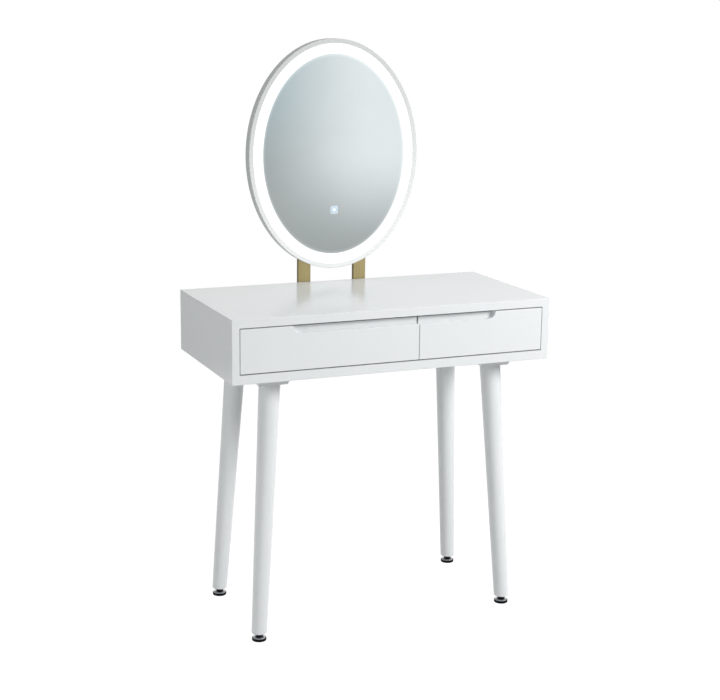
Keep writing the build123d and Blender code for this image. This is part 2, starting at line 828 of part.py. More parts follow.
    with BuildPart() as drawer_screws:
        for wall_x, side in bay_walls(bay):
            rail_seats = [(wall_x + side * (slide_gap - slide_sheet), y, slide_z) for y in rail_screw_rows]
            with Locations(*aimed(rail_seats, (side, 0, 0))):
                add(drawer_rail_screw)
            box_seats = [(wall_x + side * slide_gap, sum(back_y) / 2, z) for z in box_screw_levels]
            with Locations(*aimed(box_seats, (side, 0, 0))):
                add(box_screw)
    write_piece(drawer_screws.part, f"{name}_drawer_screws")


drawer("left", bays["left"], fronts["left"], (-notch_half_width, fronts["left"][1]))
drawer("right", bays["right"], fronts["right"], (notch_half_width, fronts["right"][0]))

# Posts that carry the mirror
post_screw_seats = [(x, z) for x in post_centres for z in (*post_board_levels, *post_backing_levels)]
for post_name, post_x in zip(("left", "right"), post_centres):
    with BuildPart() as post:
        with BuildSketch(Plane.XY.offset(carcass_bottom + cap_lip)):
            with Locations((post_x, post_y + post_depth / 2)):
                RectangleRounded(post_width, post_depth, post_corner)
                Rectangle(post_width - 2 * post_wall, post_depth - 2 * post_wall, mode=Mode.SUBTRACT)
        extrude(amount=post_top - carcass_bottom - 2 * cap_lip)
        for x, z in post_screw_seats:
            if x == post_x:
                screw_hole((x, post_rear, z), (0, -1, 0), post_screw_radius, post_depth)
    write_piece(post.part, f"{post_name}_mirror_post")

with BuildPart() as post_end_caps:
    for post_x in post_centres:
        for end_z, inward in ((carcass_bottom, 1), (post_top, -1)):
            lip_z = sorted((end_z, end_z + inward * cap_lip))
            plug_z = sorted((end_z + inward * cap_lip, end_z + inward * (cap_lip + cap_plug)))
            middle = post_y + post_depth / 2
            plug_half_width = post_width / 2 - post_wall - hole_play
            plug_half_depth = post_depth / 2 - post_wall - hole_play
            screw_x = (post_x - post_screw_head, post_x + post_screw_head)
            slab((post_x - post_width / 2, post_x + post_width / 2), (post_y, post_rear), lip_z)
            slab(
                (post_x - plug_half_width, post_x + plug_half_width),
                (middle - plug_half_depth, middle + plug_half_depth),
                plug_z,
            )
            slab(screw_x, (middle - plug_half_depth, middle + plug_half_depth), plug_z, mode=Mode.SUBTRACT)
write_piece(post_end_caps.part, "post_end_caps")

post_screw_sizes = (post_screw_radius, post_screw_head, post_screw_head_height)
board_post_screw = pan_screw(*post_screw_sizes, post_depth + back_thickness + post_screw_bite)
backing_post_screw = pan_screw(*post_screw_sizes, post_depth + backing_screw_bite)
with BuildPart() as post_screws:
    for screw, levels in ((board_post_screw, post_board_levels), (backing_post_screw, post_backing_levels)):
        with Locations(*aimed([(x, post_rear, z) for x in post_centres for z in levels], (0, -1, 0))):
            add(screw)
write_piece(post_screws.part, "post_screws")

# Mirror: frame, light ring, glass and backing board
wall_width = mirror_half_width - frame_wall
wall_height = mirror_half_height - frame_wall
bracket_walls = (
    ((-wall_width, mirror_z), (-1, 0)),
    ((wall_width, mirror_z), (1, 0)),
    ((0, mirror_z + wall_height), (0, 1)),
    ((0, mirror_z - wall_height), (0, -1)),
)
bracket_wall_inset = bracket_play + bracket_sheet
driver_ears = [(side * (driver_width + driver_ear) / 2, driver_z) for side in (-1, 1)]
small_screw_sizes = (small_screw_radius, small_screw_head, small_screw_head_height, small_screw_length)


def bracket_plane(wall_point, out):
    """A bracket's own frame: Z out to the frame's wall, Y to the rear, from the backing's rear face."""
    outward = Vector(out[0], 0, out[1])
    return Plane((wall_point[0], post_y, wall_point[1]), x_dir=Vector(0, 1, 0).cross(outward), z_dir=outward)


bracket_screw_at = Vector(0, bracket_sheet, -bracket_screw_inset)
backing_screw_seats = [bracket_plane(*wall).from_local_coords(bracket_screw_at) for wall in bracket_walls]
backing_screw_seats += [Vector(x, post_y + driver_wall, z) for x, z in driver_ears]

with BuildPart() as mirror_frame:
    with BuildSketch(upright(mirror_y)):
        oval(0)
        oval_hole(lip_width)
    extrude(amount=-lip_thickness)
    with BuildSketch(upright(glass_y)):
        oval(0)
        oval_hole(frame_wall)
    extrude(amount=-(mirror_depth - lip_thickness))
    front_edges = mirror_frame.edges().group_by(Axis.Y)[0].sort_by(SortBy.LENGTH)
    fillet(front_edges[-1], radius=frame_round)
    for post_x in post_centres:
        reach = post_width / 2 + post_notch_play
        slab(
            (post_x - reach, post_x + reach),
            (post_y - post_notch_gap, mirror_rear + cut_over),
            (mirror_bottom - cut_over, mirror_bottom + post_notch_height),
            mode=Mode.SUBTRACT,
        )
write_piece(mirror_frame.part, "mirror_frame")

with BuildPart() as light_ring:
    with BuildSketch(upright(glass_y)):
        oval(frame_wall + glass_play)
        oval_hole(lip_width + light_width - glass_play)
    extrude(amount=-glass_thickness)
write_piece(light_ring.part, "light_ring")

with BuildPart() as mirror_glass:
    with BuildSketch(upright(glass_y)):
        oval(lip_width + light_width)
    extrude(amount=-glass_thickness)
write_piece(mirror_glass.part, "mirror_glass")

led_inset = lip_width + light_width / 2
sensor_half = sensor_size / 2
pocket_half = sensor_half + sensor_play
with BuildPart() as mirror_backing:
    with BuildSketch(upright(backing_y)):
        oval(frame_wall + glass_play)
    extrude(amount=-backing_thickness)
    with BuildSketch(upright(backing_y)):
        oval(led_inset - led_channel_width / 2)
        oval_hole(led_inset + led_channel_width / 2)
    extrude(amount=-led_channel_depth, mode=Mode.SUBTRACT)
    slab(
        (-pocket_half, pocket_half),
        (backing_y - cut_over, backing_y + sensor_thickness),
        (sensor_z - pocket_half, sensor_z + pocket_half),
        mode=Mode.SUBTRACT,
    )
    for x in post_centres:
        for z in post_backing_levels:
            screw_hole((x, post_y, z), (0, -1, 0), post_screw_radius, backing_screw_bite)
    for seat in backing_screw_seats:
        screw_hole(seat, (0, -1, 0), small_screw_radius, small_screw_length)
write_piece(mirror_backing.part, "mirror_backing")

with BuildPart() as led_strip:
    with BuildSketch(upright(backing_y + led_channel_depth - led_strip_thickness)):
        oval(led_inset - led_strip_width / 2)
        oval_hole(led_inset + led_strip_width / 2)
    extrude(amount=-led_strip_thickness)
write_piece(led_strip.part, "led_strip")

with BuildPart() as touch_sensor:
    slab(
        (-sensor_half, sensor_half),
        (backing_y, backing_y + sensor_thickness),
        (sensor_z - sensor_half, sensor_z + sensor_half),
    )
write_piece(touch_sensor.part, "touch_sensor")

with BuildPart() as bracket:
    half = bracket_width / 2
    slab((-half, half), (0, bracket_sheet), (-bracket_play - bracket_reach, -bracket_play))
    slab((-half, half), (0, bracket_height), (-bracket_wall_inset, -bracket_play))
    screw_hole(bracket_screw_at, (0, -1, 0), small_screw_radius, bracket_sheet)

with BuildPart() as frame_brackets:
    with Locations(*[bracket_plane(*wall) for wall in bracket_walls]):
        add(bracket.part)
write_piece(frame_brackets.part, "frame_brackets")

small_screw = pan_screw(*small_screw_sizes)
with BuildPart() as mirror_small_screws:
    with Locations(*aimed(backing_screw_seats, (0, -1, 0))):
        add(small_screw)
write_piece(mirror_small_screws.part, "mirror_small_screws")

# Light driver behind the mirror, with its power inlet
driver_rear = post_y + driver_depth
driver_x = (-driver_width / 2, driver_width / 2)
driver_levels = (driver_z - driver_height / 2, driver_z + driver_height / 2)
inlet_x = (-inlet_width / 2, inlet_width / 2)
inlet_z = (driver_z - inlet_height / 2, driver_z + inlet_height / 2)
with BuildPart() as driver_housing:
    slab(driver_x, (post_y, driver_rear), driver_levels)
    fillet(driver_housing.edges().filter_by(Axis.Y), radius=driver_wall)
    slab(
        (driver_x[0] + driver_wall, driver_x[1] - driver_wall),
        (post_y - cut_over, driver_rear - driver_wall),
        (driver_levels[0] + driver_wall, driver_levels[1] - driver_wall),
        mode=Mode.SUBTRACT,
    )
    for x, z in driver_ears:
        slab(
            (x - driver_ear / 2, x + driver_ear / 2),
            (post_y, post_y + driver_wall),
            (z - driver_ear / 2, z + driver_ear / 2),
        )
        screw_hole((x, post_y + driver_wall, z), (0, -1, 0), small_screw_radius, driver_wall)
    slab(
        (inlet_x[0] - hole_play, inlet_x[1] + hole_play),
        (driver_rear - 2 * driver_wall, driver_rear + cut_over),
        (inlet_z[0] - hole_play, inlet_z[1] + hole_play),
        mode=Mode.SUBTRACT,
    )
write_piece(driver_housing.part, "driver_housing")

with BuildPart() as power_inlet:
    slab(inlet_x, (driver_rear - inlet_length, driver_rear), inlet_z)
    slab(
        (inlet_x[0] + inlet_wall, inlet_x[1] - inlet_wall),
        (driver_rear - inlet_length + inlet_wall, driver_rear + cut_over),
        (inlet_z[0] + inlet_wall, inlet_z[1] - inlet_wall),
        mode=Mode.SUBTRACT,
    )
    slab(
        (inlet_x[0] + inlet_tongue_inset, inlet_x[1] - inlet_tongue_inset),
        (driver_rear - inlet_length, driver_rear - inlet_tongue_setback),
        (driver_z - inlet_wall, driver_z + inlet_wall),
    )
write_piece(power_inlet.part, "power_inlet")
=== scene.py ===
"""Looks of a dressing table with a lit oval mirror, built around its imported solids."""

import json
import logging
import math
from dataclasses import dataclass
from enum import Enum
from typing import Any

import bmesh
import bpy
from mathutils import Matrix, Vector


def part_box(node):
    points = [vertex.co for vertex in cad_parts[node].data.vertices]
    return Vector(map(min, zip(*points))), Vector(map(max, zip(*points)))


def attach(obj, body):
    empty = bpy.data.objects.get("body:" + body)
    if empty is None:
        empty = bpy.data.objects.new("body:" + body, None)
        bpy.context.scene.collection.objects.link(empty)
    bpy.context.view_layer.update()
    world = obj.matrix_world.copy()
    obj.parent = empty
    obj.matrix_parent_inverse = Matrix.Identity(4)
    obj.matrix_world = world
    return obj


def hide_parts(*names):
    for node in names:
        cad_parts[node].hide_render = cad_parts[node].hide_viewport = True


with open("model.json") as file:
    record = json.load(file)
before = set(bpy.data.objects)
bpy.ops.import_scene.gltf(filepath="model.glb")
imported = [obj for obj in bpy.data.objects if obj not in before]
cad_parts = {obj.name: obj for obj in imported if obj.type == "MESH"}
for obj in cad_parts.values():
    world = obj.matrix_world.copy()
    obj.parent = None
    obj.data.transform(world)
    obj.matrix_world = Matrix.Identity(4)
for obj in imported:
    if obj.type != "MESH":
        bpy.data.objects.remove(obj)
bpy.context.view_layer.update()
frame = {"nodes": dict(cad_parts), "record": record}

LOG = logging.getLogger("dressing_table")
MM = 0.001
UP = (0.0, 0.0, 1.0)
SMOOTH_ANGLE = math.radians(32)
MERGE_DISTANCE = 1e-6
PLANE_PLAY = 1e-7
CORNER_SEGMENTS = 6
EDGE_SEGMENTS = 2
Colour = tuple[float, float, float]
Point = tuple[float, float, float]
Span = tuple[float, float]


class Slot(Enum):
    """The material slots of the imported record."""

    LACQUER = "white_lacquer"
    DRAWER_BOARD = "drawer_board"
    HARDBOARD = "hardboard"
    BACKING = "backing_board"
    BEECH = "beech"
    GOLD_METAL = "gold_metal"
    GOLD_PLASTIC = "gold_plastic"
    FRAME_PAINT = "frame_paint"
    MIRROR = "mirror_glass"
    OPAL = "opal_acrylic"
    LED_TAPE = "led_tape"
    SENSOR = "sensor_board"
    DRIVER = "driver_plastic"
    ZINC = "zinc_steel"
    FOOT_CHROME = "foot_chrome"


class Corner(Enum):
    """The four legs' places under the table."""

    FRONT_LEFT = "front_left"
    FRONT_RIGHT = "front_right"
    REAR_LEFT = "rear_left"
    REAR_RIGHT = "rear_right"


class Side(Enum):
    """The two drawers, as seen from the front."""

    LEFT = "left"
    RIGHT = "right"


@dataclass(frozen=True)
class Grain:
    """A noise pattern: the size of a blotch in metres, its finer layers, and its stretch on each axis."""

    size: float
    detail: float = 2.0
    roughness: float = 0.5
    stretch: Point = (1.0, 1.0, 1.0)


class Signal:
    """A node's output socket that takes part in Python arithmetic."""

    def __init__(self, graph: "Graph", socket: bpy.types.NodeSocket) -> None:
        """Keep the socket and the graph that holds it."""
        self.graph = graph
        self.socket = socket

    def _math(self, operation: str, left: Any, right: Any) -> "Signal":
        """Add one Math node.

        Args:
            operation: The Math node's operation.
            left: Its first value or signal.
            right: Its second value or signal.

        Returns:
            The node's result.
        """
        return self.graph.node("ShaderNodeMath", {"operation": operation}, {0: left, 1: right})

    def __add__(self, other: Any) -> "Signal":
        """This signal plus another."""
        return self._math("ADD", self, other)

    def __radd__(self, other: Any) -> "Signal":
        """Another value plus this signal."""
        return self._math("ADD", other, self)

    def __sub__(self, other: Any) -> "Signal":
        """This signal less another."""
        return self._math("SUBTRACT", self, other)

    def __rsub__(self, other: Any) -> "Signal":
        """Another value less this signal."""
        return self._math("SUBTRACT", other, self)

    def __mul__(self, other: Any) -> "Signal":
        """This signal times another."""
        return self._math("MULTIPLY", self, other)

    def __rmul__(self, other: Any) -> "Signal":
        """Another value times this signal."""
        return self._math("MULTIPLY", other, self)

    def __or__(self, other: Any) -> "Signal":
        """The larger of two signals, so that either one switches on."""
        return self._math("MAXIMUM", self, other)

    def __ror__(self, other: Any) -> "Signal":
        """The larger of another value and this signal."""
        return self._math("MAXIMUM", other, self)

    def __abs__(self) -> "Signal":
        """This signal without its sign."""
        return self._math("ABSOLUTE", self, 0.0)

    def step(self, low: float, high: float) -> "Signal":
        """A soft step of this signal.

        Args:
            low: Where the step begins, at 0.
            high: Where it ends, at 1.

        Returns:
            The step, held between 0 and 1.
        """
        settings = {"interpolation_type": "SMOOTHSTEP"}
        return self.graph.node("ShaderNodeMapRange", settings, {0: self, 1: low, 2: high})

    def between(self, start: float, end: float) -> "Signal":
        """This signal, from 0 to 1, laid over a range that begins and ends at two values."""
        return start + (end - start) * self

    def weigh(self, other: "Signal", weights: Span) -> "Signal":
        """The sum of this signal and another, each times its weight."""
        return self * weights[0] + other * weights[1]


class Graph:
    """A node tree that is filled in by Python expressions."""

    def __init__(self, tree: bpy.types.NodeTree) -> None:
        """Start from an empty tree."""
        self.tree = tree
        tree.nodes.clear()

    def node(
        self,
        kind: str,
        settings: dict[str, Any] | None = None,
        inputs: dict[str | int, Any] | None = None,
        output: str | int = 0,
    ) -> Signal:
        """Add one node of any kind.

        Args:
            kind: The node's type.
            settings: Its properties, which are set first.
            inputs: Values or signals for its sockets, by name or number.
            output: The socket to hand on.

        Returns:
            The node's output as a signal. A closing node hands on its own input.
        """
        made = self.tree.nodes.new(kind)
        for name, value in (settings or {}).items():
            setattr(made, name, value)
        for name, value in (inputs or {}).items():
            self.feed(made.inputs[name], value)
        outputs = made.outputs
        return Signal(self, outputs[output]) if len(outputs) else Signal(self, made.inputs[0])

    def feed(self, socket: bpy.types.NodeSocket, value: Any) -> None:
        """Link a signal to a socket, or set the socket's own value.

        Args:
            socket: The input socket.
            value: A signal, a number, a colour or a vector.
        """
        if isinstance(value, Signal):
            self.tree.links.new(value.socket, socket)
        elif isinstance(value, tuple) and socket.type == "RGBA":
            socket.default_value = (*value, 1.0)
        else:
            socket.default_value = value

    def place(self, stretch: Point = (1.0, 1.0, 1.0)) -> Signal:
        """Object coordinates, in metres, stretched for a grain.

        Args:
            stretch: The scale on each axis: small along the grain.

        Returns:
            The coordinates.
        """
        here = self.node("ShaderNodeTexCoord", output="Object")
        return self.node("ShaderNodeMapping", None, {"Vector": here, "Scale": stretch})

    def along(self, axis: str) -> Signal:
        """Object coordinates along one axis, in metres."""
        return self.node("ShaderNodeSeparateXYZ", None, {0: self.place()}, output=axis)

    def noise(self, grain: Grain) -> Signal:
        """Soft noise from 0 to 1.

        Args:
            grain: The pattern.

        Returns:
            The noise.
        """
        sockets = {
            "Vector": self.place(grain.stretch),
            "Scale": 1.0 / grain.size,
            "Detail": grain.detail,
            "Roughness": grain.roughness,
        }
        return self.node("ShaderNodeTexNoise", None, sockets)

    def mix(self, factor: Any, low: Any, high: Any) -> Signal:
        """Blend two colours.

        Args:
            factor: 0 for the first colour, 1 for the second.
            low: The first colour.
            high: The second colour.

        Returns:
            The blended colour.
        """
        return self.node("ShaderNodeMix", {"data_type": "RGBA"}, {0: factor, 6: low, 7: high}, output=2)

    def bump(self, height: Signal, depth: float) -> Signal:
        """A bumped normal.

        Args:
            height: The height, from 0 to 1.
            depth: The real depth of the relief, in metres.

        Returns:
            The normal.
        """
        return self.node("ShaderNodeBump", None, {"Strength": 1.0, "Distance": depth, "Height": height})

    def surface(self, sockets: dict[str, Any]) -> None:
        """End the tree in a Principled surface.

        Args:
            sockets: Values or signals for the shader's sockets.
        """
        shader = self.node("ShaderNodeBsdfPrincipled", None, sockets)
        self.node("ShaderNodeOutputMaterial", None, {"Surface": shader})


@dataclass(frozen=True)
class Finish:
    """What every finish has: a name and a way to shade a surface."""

    name: str

    def material(self) -> bpy.types.Material:
        """Make the finish as a material.

        Returns:
            The new material.
        """
        made = bpy.data.materials.new(self.name)
        made.use_nodes = True
        self.shade(Graph(made.node_tree))
        return made

    def shade(self, graph: Graph) -> None:
        """Fill in the material's nodes."""
        raise NotImplementedError


@dataclass(frozen=True)
class Lacquer(Finish):
    """Sprayed paint on a smooth board: faint orange peel, and gloss that drifts a little."""

    colour: Colour
    drift_colour: Colour
    gloss: Span
    coat: float = 0.03
    coat_roughness: float = 0.12
    drift: Grain = Grain(0.28, detail=3.0)
    haze: Grain = Grain(0.09, detail=3.0)
    cloud_limits: Span = (0.3, 0.7)
    peel: Grain = Grain(0.0042, roughness=0.4)
    peel_depth: float = 0.000004

    def paint(self, graph: Graph) -> Signal:
        """The paint's colour, with a slow drift."""
        drift = graph.noise(self.drift).step(*self.cloud_limits)
        return graph.mix(drift, self.colour, self.drift_colour)

    def shade(self, graph: Graph) -> None:
        """Fill in the material's nodes.

        Args:
            graph: The nodes, which are empty at first.
        """
        haze = graph.noise(self.haze).step(*self.cloud_limits)
        graph.surface(
            {
                "Base Color": self.paint(graph),
                "Roughness": haze.between(*self.gloss),
                "Coat Weight": self.coat,
                "Coat Roughness": self.coat_roughness,
                "Normal": graph.bump(graph.noise(self.peel), self.peel_depth),
            }
        )


@dataclass(frozen=True)
class BayShadedLacquer(Lacquer):
    """Lacquer that turns to a dark grey painted shade inside the drawer bays, which stands in for the shade
    in the gaps round the drawers.
    """

    # Painted shade: the dark grey that stands in for the shade inside the drawer bays.
    painted_bay_shade: Colour = (0.2, 0.2, 0.195)
    bay_low: Point = (-0.382, -0.197, 0.655)
    bay_high: Point = (0.382, 0.191, 0.762)
    bay_shade_fade: float = 0.006
    edge_play: float = 0.3 * MM

    def paint(self, graph: Graph) -> Signal:
        """The paint's colour.

        Args:
            graph: The material's nodes.

        Returns:
            The lacquer's colour outside, and the painted bay shade inside the bays.
        """
        bay_shade_mask: Signal | float = 1.0
        for axis, low, high in zip("XYZ", self.bay_low, self.bay_high):
            reach = (high - low) / 2 + self.edge_play
            depth = reach - abs(graph.along(axis) - (low + high) / 2)
            bay_shade_mask = bay_shade_mask * depth.step(0.0, self.bay_shade_fade if axis == "Y" else self.edge_play)
        # Painted shade inside the drawer bays, where the gaps round the drawers are dark.
        return graph.mix(bay_shade_mask, super().paint(graph), self.painted_bay_shade)


@dataclass(frozen=True)
class FramePaint(Lacquer):
    """Satin paint on the mirror's frame: a front lip with painted light that pales it downwards, and a side
    wall in painted shade.
    """

    # Painted light: the lip's paler colour at its bottom.
    lip_painted_light_colour: Colour = (0.83, 0.84, 0.835)
    # Painted shade: the side wall's darker colour.
    side_painted_shade: Colour = (0.595, 0.626, 0.615)
    lip_depth: float = 0.1838
    edge: float = 0.0012

    def paint(self, graph: Graph) -> Signal:
        """The paint's colour.

        Args:
            graph: The material's nodes.

        Returns:
            The lip's colour with its painted light towards the bottom, and the side wall's painted shade
            behind it.
        """
        low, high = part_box("mirror_frame")
        # Painted light: the lip pales from its top to its bottom.
        lip = graph.mix(graph.along("Z").step(low.z, high.z), self.lip_painted_light_colour, super().paint(graph))
        # Painted shade on the side wall behind the lip.
        wall = graph.along("Y").step(self.lip_depth - self.edge, self.lip_depth + self.edge)
        return graph.mix(wall, lip, self.side_painted_shade)


@dataclass(frozen=True)
class FoilBoard(Finish):
    """Board faced with a printed foil that has a fine embossed grain."""

    colour: Colour
    grain_colour: Colour
    grain: Grain = Grain(0.0016, detail=4.0, roughness=0.6, stretch=(1.0, 0.03, 0.6))
    cloud: Grain = Grain(0.12, detail=3.0)
    streak_limits: Span = (0.35, 0.7)
    weights: Span = (0.6, 0.3)
    gloss: Span = (0.36, 0.52)
    emboss: float = 0.00003

    def shade(self, graph: Graph) -> None:
        """Fill in the material's nodes.

        Args:
            graph: The nodes, which are empty at first.
        """
        grain = graph.noise(self.grain)
        streak = grain.step(*self.streak_limits)
        tone = streak.weigh(graph.noise(self.cloud), self.weights)
        graph.surface(
            {
                "Base Color": graph.mix(tone, self.colour, self.grain_colour),
                "Roughness": streak.between(*self.gloss),
                "Normal": graph.bump(grain, self.emboss),
            }
        )


@dataclass(frozen=True)
class FibreBoard(Finish):
    """Pressed fibre with a thin coat of paint, through which the fibres show."""

    colour: Colour
    fibre_colour: Colour
    upright: Grain = Grain(0.0011, detail=3.0, roughness=0.6, stretch=(1.0, 1.0, 0.16))
    level: Grain = Grain(0.0011, detail=3.0, roughness=0.6, stretch=(0.16, 1.0, 1.0))
    blotch: Grain = Grain(0.07, detail=4.0)
    felt_weights: Span = (0.5, 0.5)
    felt_limits: Span = (0.42, 0.62)
    weights: Span = (0.7, 0.2)
    gloss: Span = (0.55, 0.80)
    relief: float = 0.00005

    def shade(self, graph: Graph) -> None:
        """Fill in the material's nodes.

        Args:
            graph: The nodes, which are empty at first.
        """
        felt = graph.noise(self.upright).weigh(graph.noise(self.level), self.felt_weights)
        tone = felt.step(*self.felt_limits).weigh(graph.noise(self.blotch), self.weights)
        graph.surface(
            {
                "Base Color": graph.mix(tone, self.colour, self.fibre_colour),
                "Roughness": felt.between(*self.gloss),
                "Normal": graph.bump(felt, self.relief),
            }
        )


@dataclass(frozen=True)
class Timber(Finish):
    """Bare close-grained wood with long dark flecks."""

    pale: Colour
    dark: Colour
    ring: Grain = Grain(0.004, detail=4.0, roughness=0.55, stretch=(1.0, 0.12, 0.12))
    fleck: Grain = Grain(0.0009, stretch=(1.0, 0.12, 0.12))
    ring_limits: Span = (0.3, 0.75)
    fleck_limits: Span = (0.6, 0.8)
    weights: Span = (0.7, 0.3)
    gloss: Span = (0.5, 0.65)
    relief: float = 0.00004

    def shade(self, graph: Graph) -> None:
        """Fill in the material's nodes.

        Args:
            graph: The nodes, which are empty at first.
        """
        ring, fleck = graph.noise(self.ring), graph.noise(self.fleck)
        figure = ring.step(*self.ring_limits).weigh(fleck.step(*self.fleck_limits), self.weights)
        graph.surface(
            {
                "Base Color": graph.mix(figure, self.pale, self.dark),
                "Roughness": fleck.between(*self.gloss),
                "Normal": graph.bump(ring, self.relief),
            }
        )


@dataclass(frozen=True)
class BrushedMetal(Finish):
    """The posts' metal: brushed along its length, with painted shade on its narrow sides."""

    colour: Colour
    shadow: Colour
    # Painted shade: the darker colour of the narrow sides.
    side_painted_shade: Colour
    gloss: Span
    brush: Grain = Grain(0.0007, detail=3.0, roughness=0.65, stretch=(1.0, 1.0, 0.008))
    cloud: Grain = Grain(0.06, detail=3.0)
    brush_limits: Span = (0.3, 0.7)
    weights: Span = (0.75, 0.25)
    anisotropy: float = 0.4
    relief: float = 0.000012
    side_depth: float = 0.0006
    posts: tuple[str, ...] = ("left_mirror_post", "right_mirror_post")

    def shade(self, graph: Graph) -> None:
        """Fill in the material's nodes.

        Args:
            graph: The nodes, which are empty at first.
        """
        lines = graph.noise(self.brush)
        tone = lines.step(*self.brush_limits).weigh(graph.noise(self.cloud), self.weights)
        face = graph.mix(tone, self.shadow, self.colour)
        low, high = self.gloss
        graph.surface(
            {
                # Painted shade on the posts' narrow sides.
                "Base Color": graph.mix(self._painted_shade_sides(graph), face, self.side_painted_shade),
                "Metallic": 1.0,
                "Roughness": tone.between(high, low),
                "Anisotropic": self.anisotropy,
                "Normal": graph.bump(lines, self.relief),
            }
        )

    def _painted_shade_sides(self, graph: Graph) -> Signal:
        """Where the posts' narrow sides are.

        Args:
            graph: The material's nodes.

        Returns:
            1 on a side, and 0 on the wide faces.
        """
        x = graph.along("X")
        away: Signal | float = 1.0
        for corner in (corner for post in self.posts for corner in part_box(post)):
            away = away * abs(x - corner.x).step(self.side_depth / 2, self.side_depth)
        return 1.0 - away


@dataclass(frozen=True)
class PlatedMetal(Finish):
    """Plated metal with a mottled film and fine handling marks."""

    colour: Colour
    film: Colour
    gloss: Span
    mottle: Grain = Grain(0.006, detail=4.0, roughness=0.6)
    marks: Grain = Grain(0.0008, stretch=(1.0, 0.1, 1.0))
    film_limits: Span = (0.35, 0.7)
    weights: Span = (0.6, 0.4)
    mark_depth: float = 0.000005

    def shade(self, graph: Graph) -> None:
        """Fill in the material's nodes.

        Args:
            graph: The nodes, which are empty at first.
        """
        mottle, marks = graph.noise(self.mottle), graph.noise(self.marks)
        graph.surface(
            {
                "Base Color": graph.mix(mottle.step(*self.film_limits), self.colour, self.film),
                "Metallic": 1.0,
                "Roughness": mottle.weigh(marks, self.weights).between(*self.gloss),
                "Normal": graph.bump(marks, self.mark_depth),
            }
        )


@dataclass(frozen=True)
class MouldedPlastic(Finish):
    """Moulded plastic or rubber with a fine spark-eroded texture."""

    colour: Colour
    worn: Colour
    roughness: float
    texture: Grain = Grain(0.0007, roughness=0.6)
    patch: Grain = Grain(0.03, detail=3.0)
    weights: Span = (0.5, 0.4)
    roughness_drift: float = 0.08
    relief: float = 0.00003
    metallic: float = 0.0
    specular: float = 0.5

    def shade(self, graph: Graph) -> None:
        """Fill in the material's nodes.

        Args:
            graph: The nodes, which are empty at first.
        """
        texture, patch = graph.noise(self.texture), graph.noise(self.patch)
        smooth, dull = self.roughness - self.roughness_drift, self.roughness + self.roughness_drift
        graph.surface(
            {
                "Base Color": graph.mix(texture.weigh(patch, self.weights), self.colour, self.worn),
                "Metallic": self.metallic,
                "Roughness": patch.between(smooth, dull),
                "Specular IOR Level": self.specular,
                "Normal": graph.bump(texture, self.relief),
            }
        )


@dataclass(frozen=True)
class SilveredGlass(Finish):
    """Plate glass with silver behind it: a cool tint, a breath of haze, and a glow at its rim."""

    tint: Colour
    haze_tint: Colour
    haze: Grain = Grain(0.08, detail=5.0, roughness=0.6)
    haze_limits: Span = (0.3, 0.8)
    gloss: Span = (0.012, 0.032)
    glow: Colour = (0.13, 0.132, 0.134)
    dark: Colour = (0.0, 0.0, 0.0)
    glow_reach: float = 0.01

    def shade(self, graph: Graph) -> None:
        """Fill in the material's nodes.

        Args:
            graph: The nodes, which are empty at first.
        """
        haze = graph.noise(self.haze)
        rim = self._rim(graph)
        graph.surface(
            {
                "Base Color": graph.mix(haze.step(*self.haze_limits), self.tint, self.haze_tint),
                "Metallic": 1.0,
                "Roughness": haze.between(*self.gloss),
                "Emission Color": graph.mix(rim * rim, self.dark, self.glow),
                "Emission Strength": 1.0,
            }
        )

    def _rim(self, graph: Graph) -> Signal:
        """How near a point lies to the oval edge of the glass.

        Args:
            graph: The material's nodes.

        Returns:
            A soft step, from 0 at the glow's reach to 1 at the edge.
        """
        low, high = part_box("mirror_glass")
        middle, half = (low + high) / 2, (high - low) / 2
        across = (graph.along("X") - middle.x) * (1 / half.x)
        upward = (graph.along("Z") - middle.z) * (1 / half.z)
        mean_radius = (half.x + half.z) / 2
        reach_share = 2 * self.glow_reach / mean_radius
        return (across * across + upward * upward).step(1.0 - reach_share, 1.0)


@dataclass(frozen=True)
class LitSheet(Finish):
    """Frosted sheet lit from behind, a little uneven in its glow."""

    body: Colour
    glow: Colour
    dim_glow: Colour
    strength: float
    unevenness: Grain = Grain(0.03)
    dim_limits: Span = (0.25, 0.75)
    frost: Grain = Grain(0.0009)
    frost_weight: float = 0.1
    gloss: Span = (0.3, 0.5)

    def shade(self, graph: Graph) -> None:
        """Fill in the material's nodes.

        Args:
            graph: The nodes, which are empty at first.
        """
        dim = graph.noise(self.unevenness).step(*self.dim_limits)
        frost = graph.noise(self.frost)
        graph.surface(
            {
                "Base Color": graph.mix(frost * self.frost_weight, self.body, self.glow),
                "Roughness": frost.between(*self.gloss),
                "Emission Color": graph.mix(dim, self.glow, self.dim_glow),
                "Emission Strength": self.strength,
            }
        )


@dataclass(frozen=True)
class CircuitBoard(Finish):
    """Solder mask with paler copper tracks under it."""

    mask: Colour
    track: Colour
    pitch: float
    bend: float = 6.0
    bend_detail: float = 1.0
    track_limits: Span = (0.62, 0.7)
    mask_roughness: float = 0.42
    track_roughness: float = 0.28
    track_height: float = 0.00003

    def shade(self, graph: Graph) -> None:
        """Fill in the material's nodes.

        Args:
            graph: The nodes, which are empty at first.
        """
        lanes = graph.node(
            "ShaderNodeTexWave",
            {"bands_direction": "X"},
            {
                "Vector": graph.place(),
                "Scale": 1.0 / self.pitch,
                "Distortion": self.bend,
                "Detail": self.bend_detail,
            },
            output=1,
        )
        tracks = lanes.step(*self.track_limits)
        graph.surface(
            {
                "Base Color": graph.mix(tracks, self.mask, self.track),
                "Roughness": tracks.between(self.mask_roughness, self.track_roughness),
                "Normal": graph.bump(tracks, self.track_height),
            }
        )


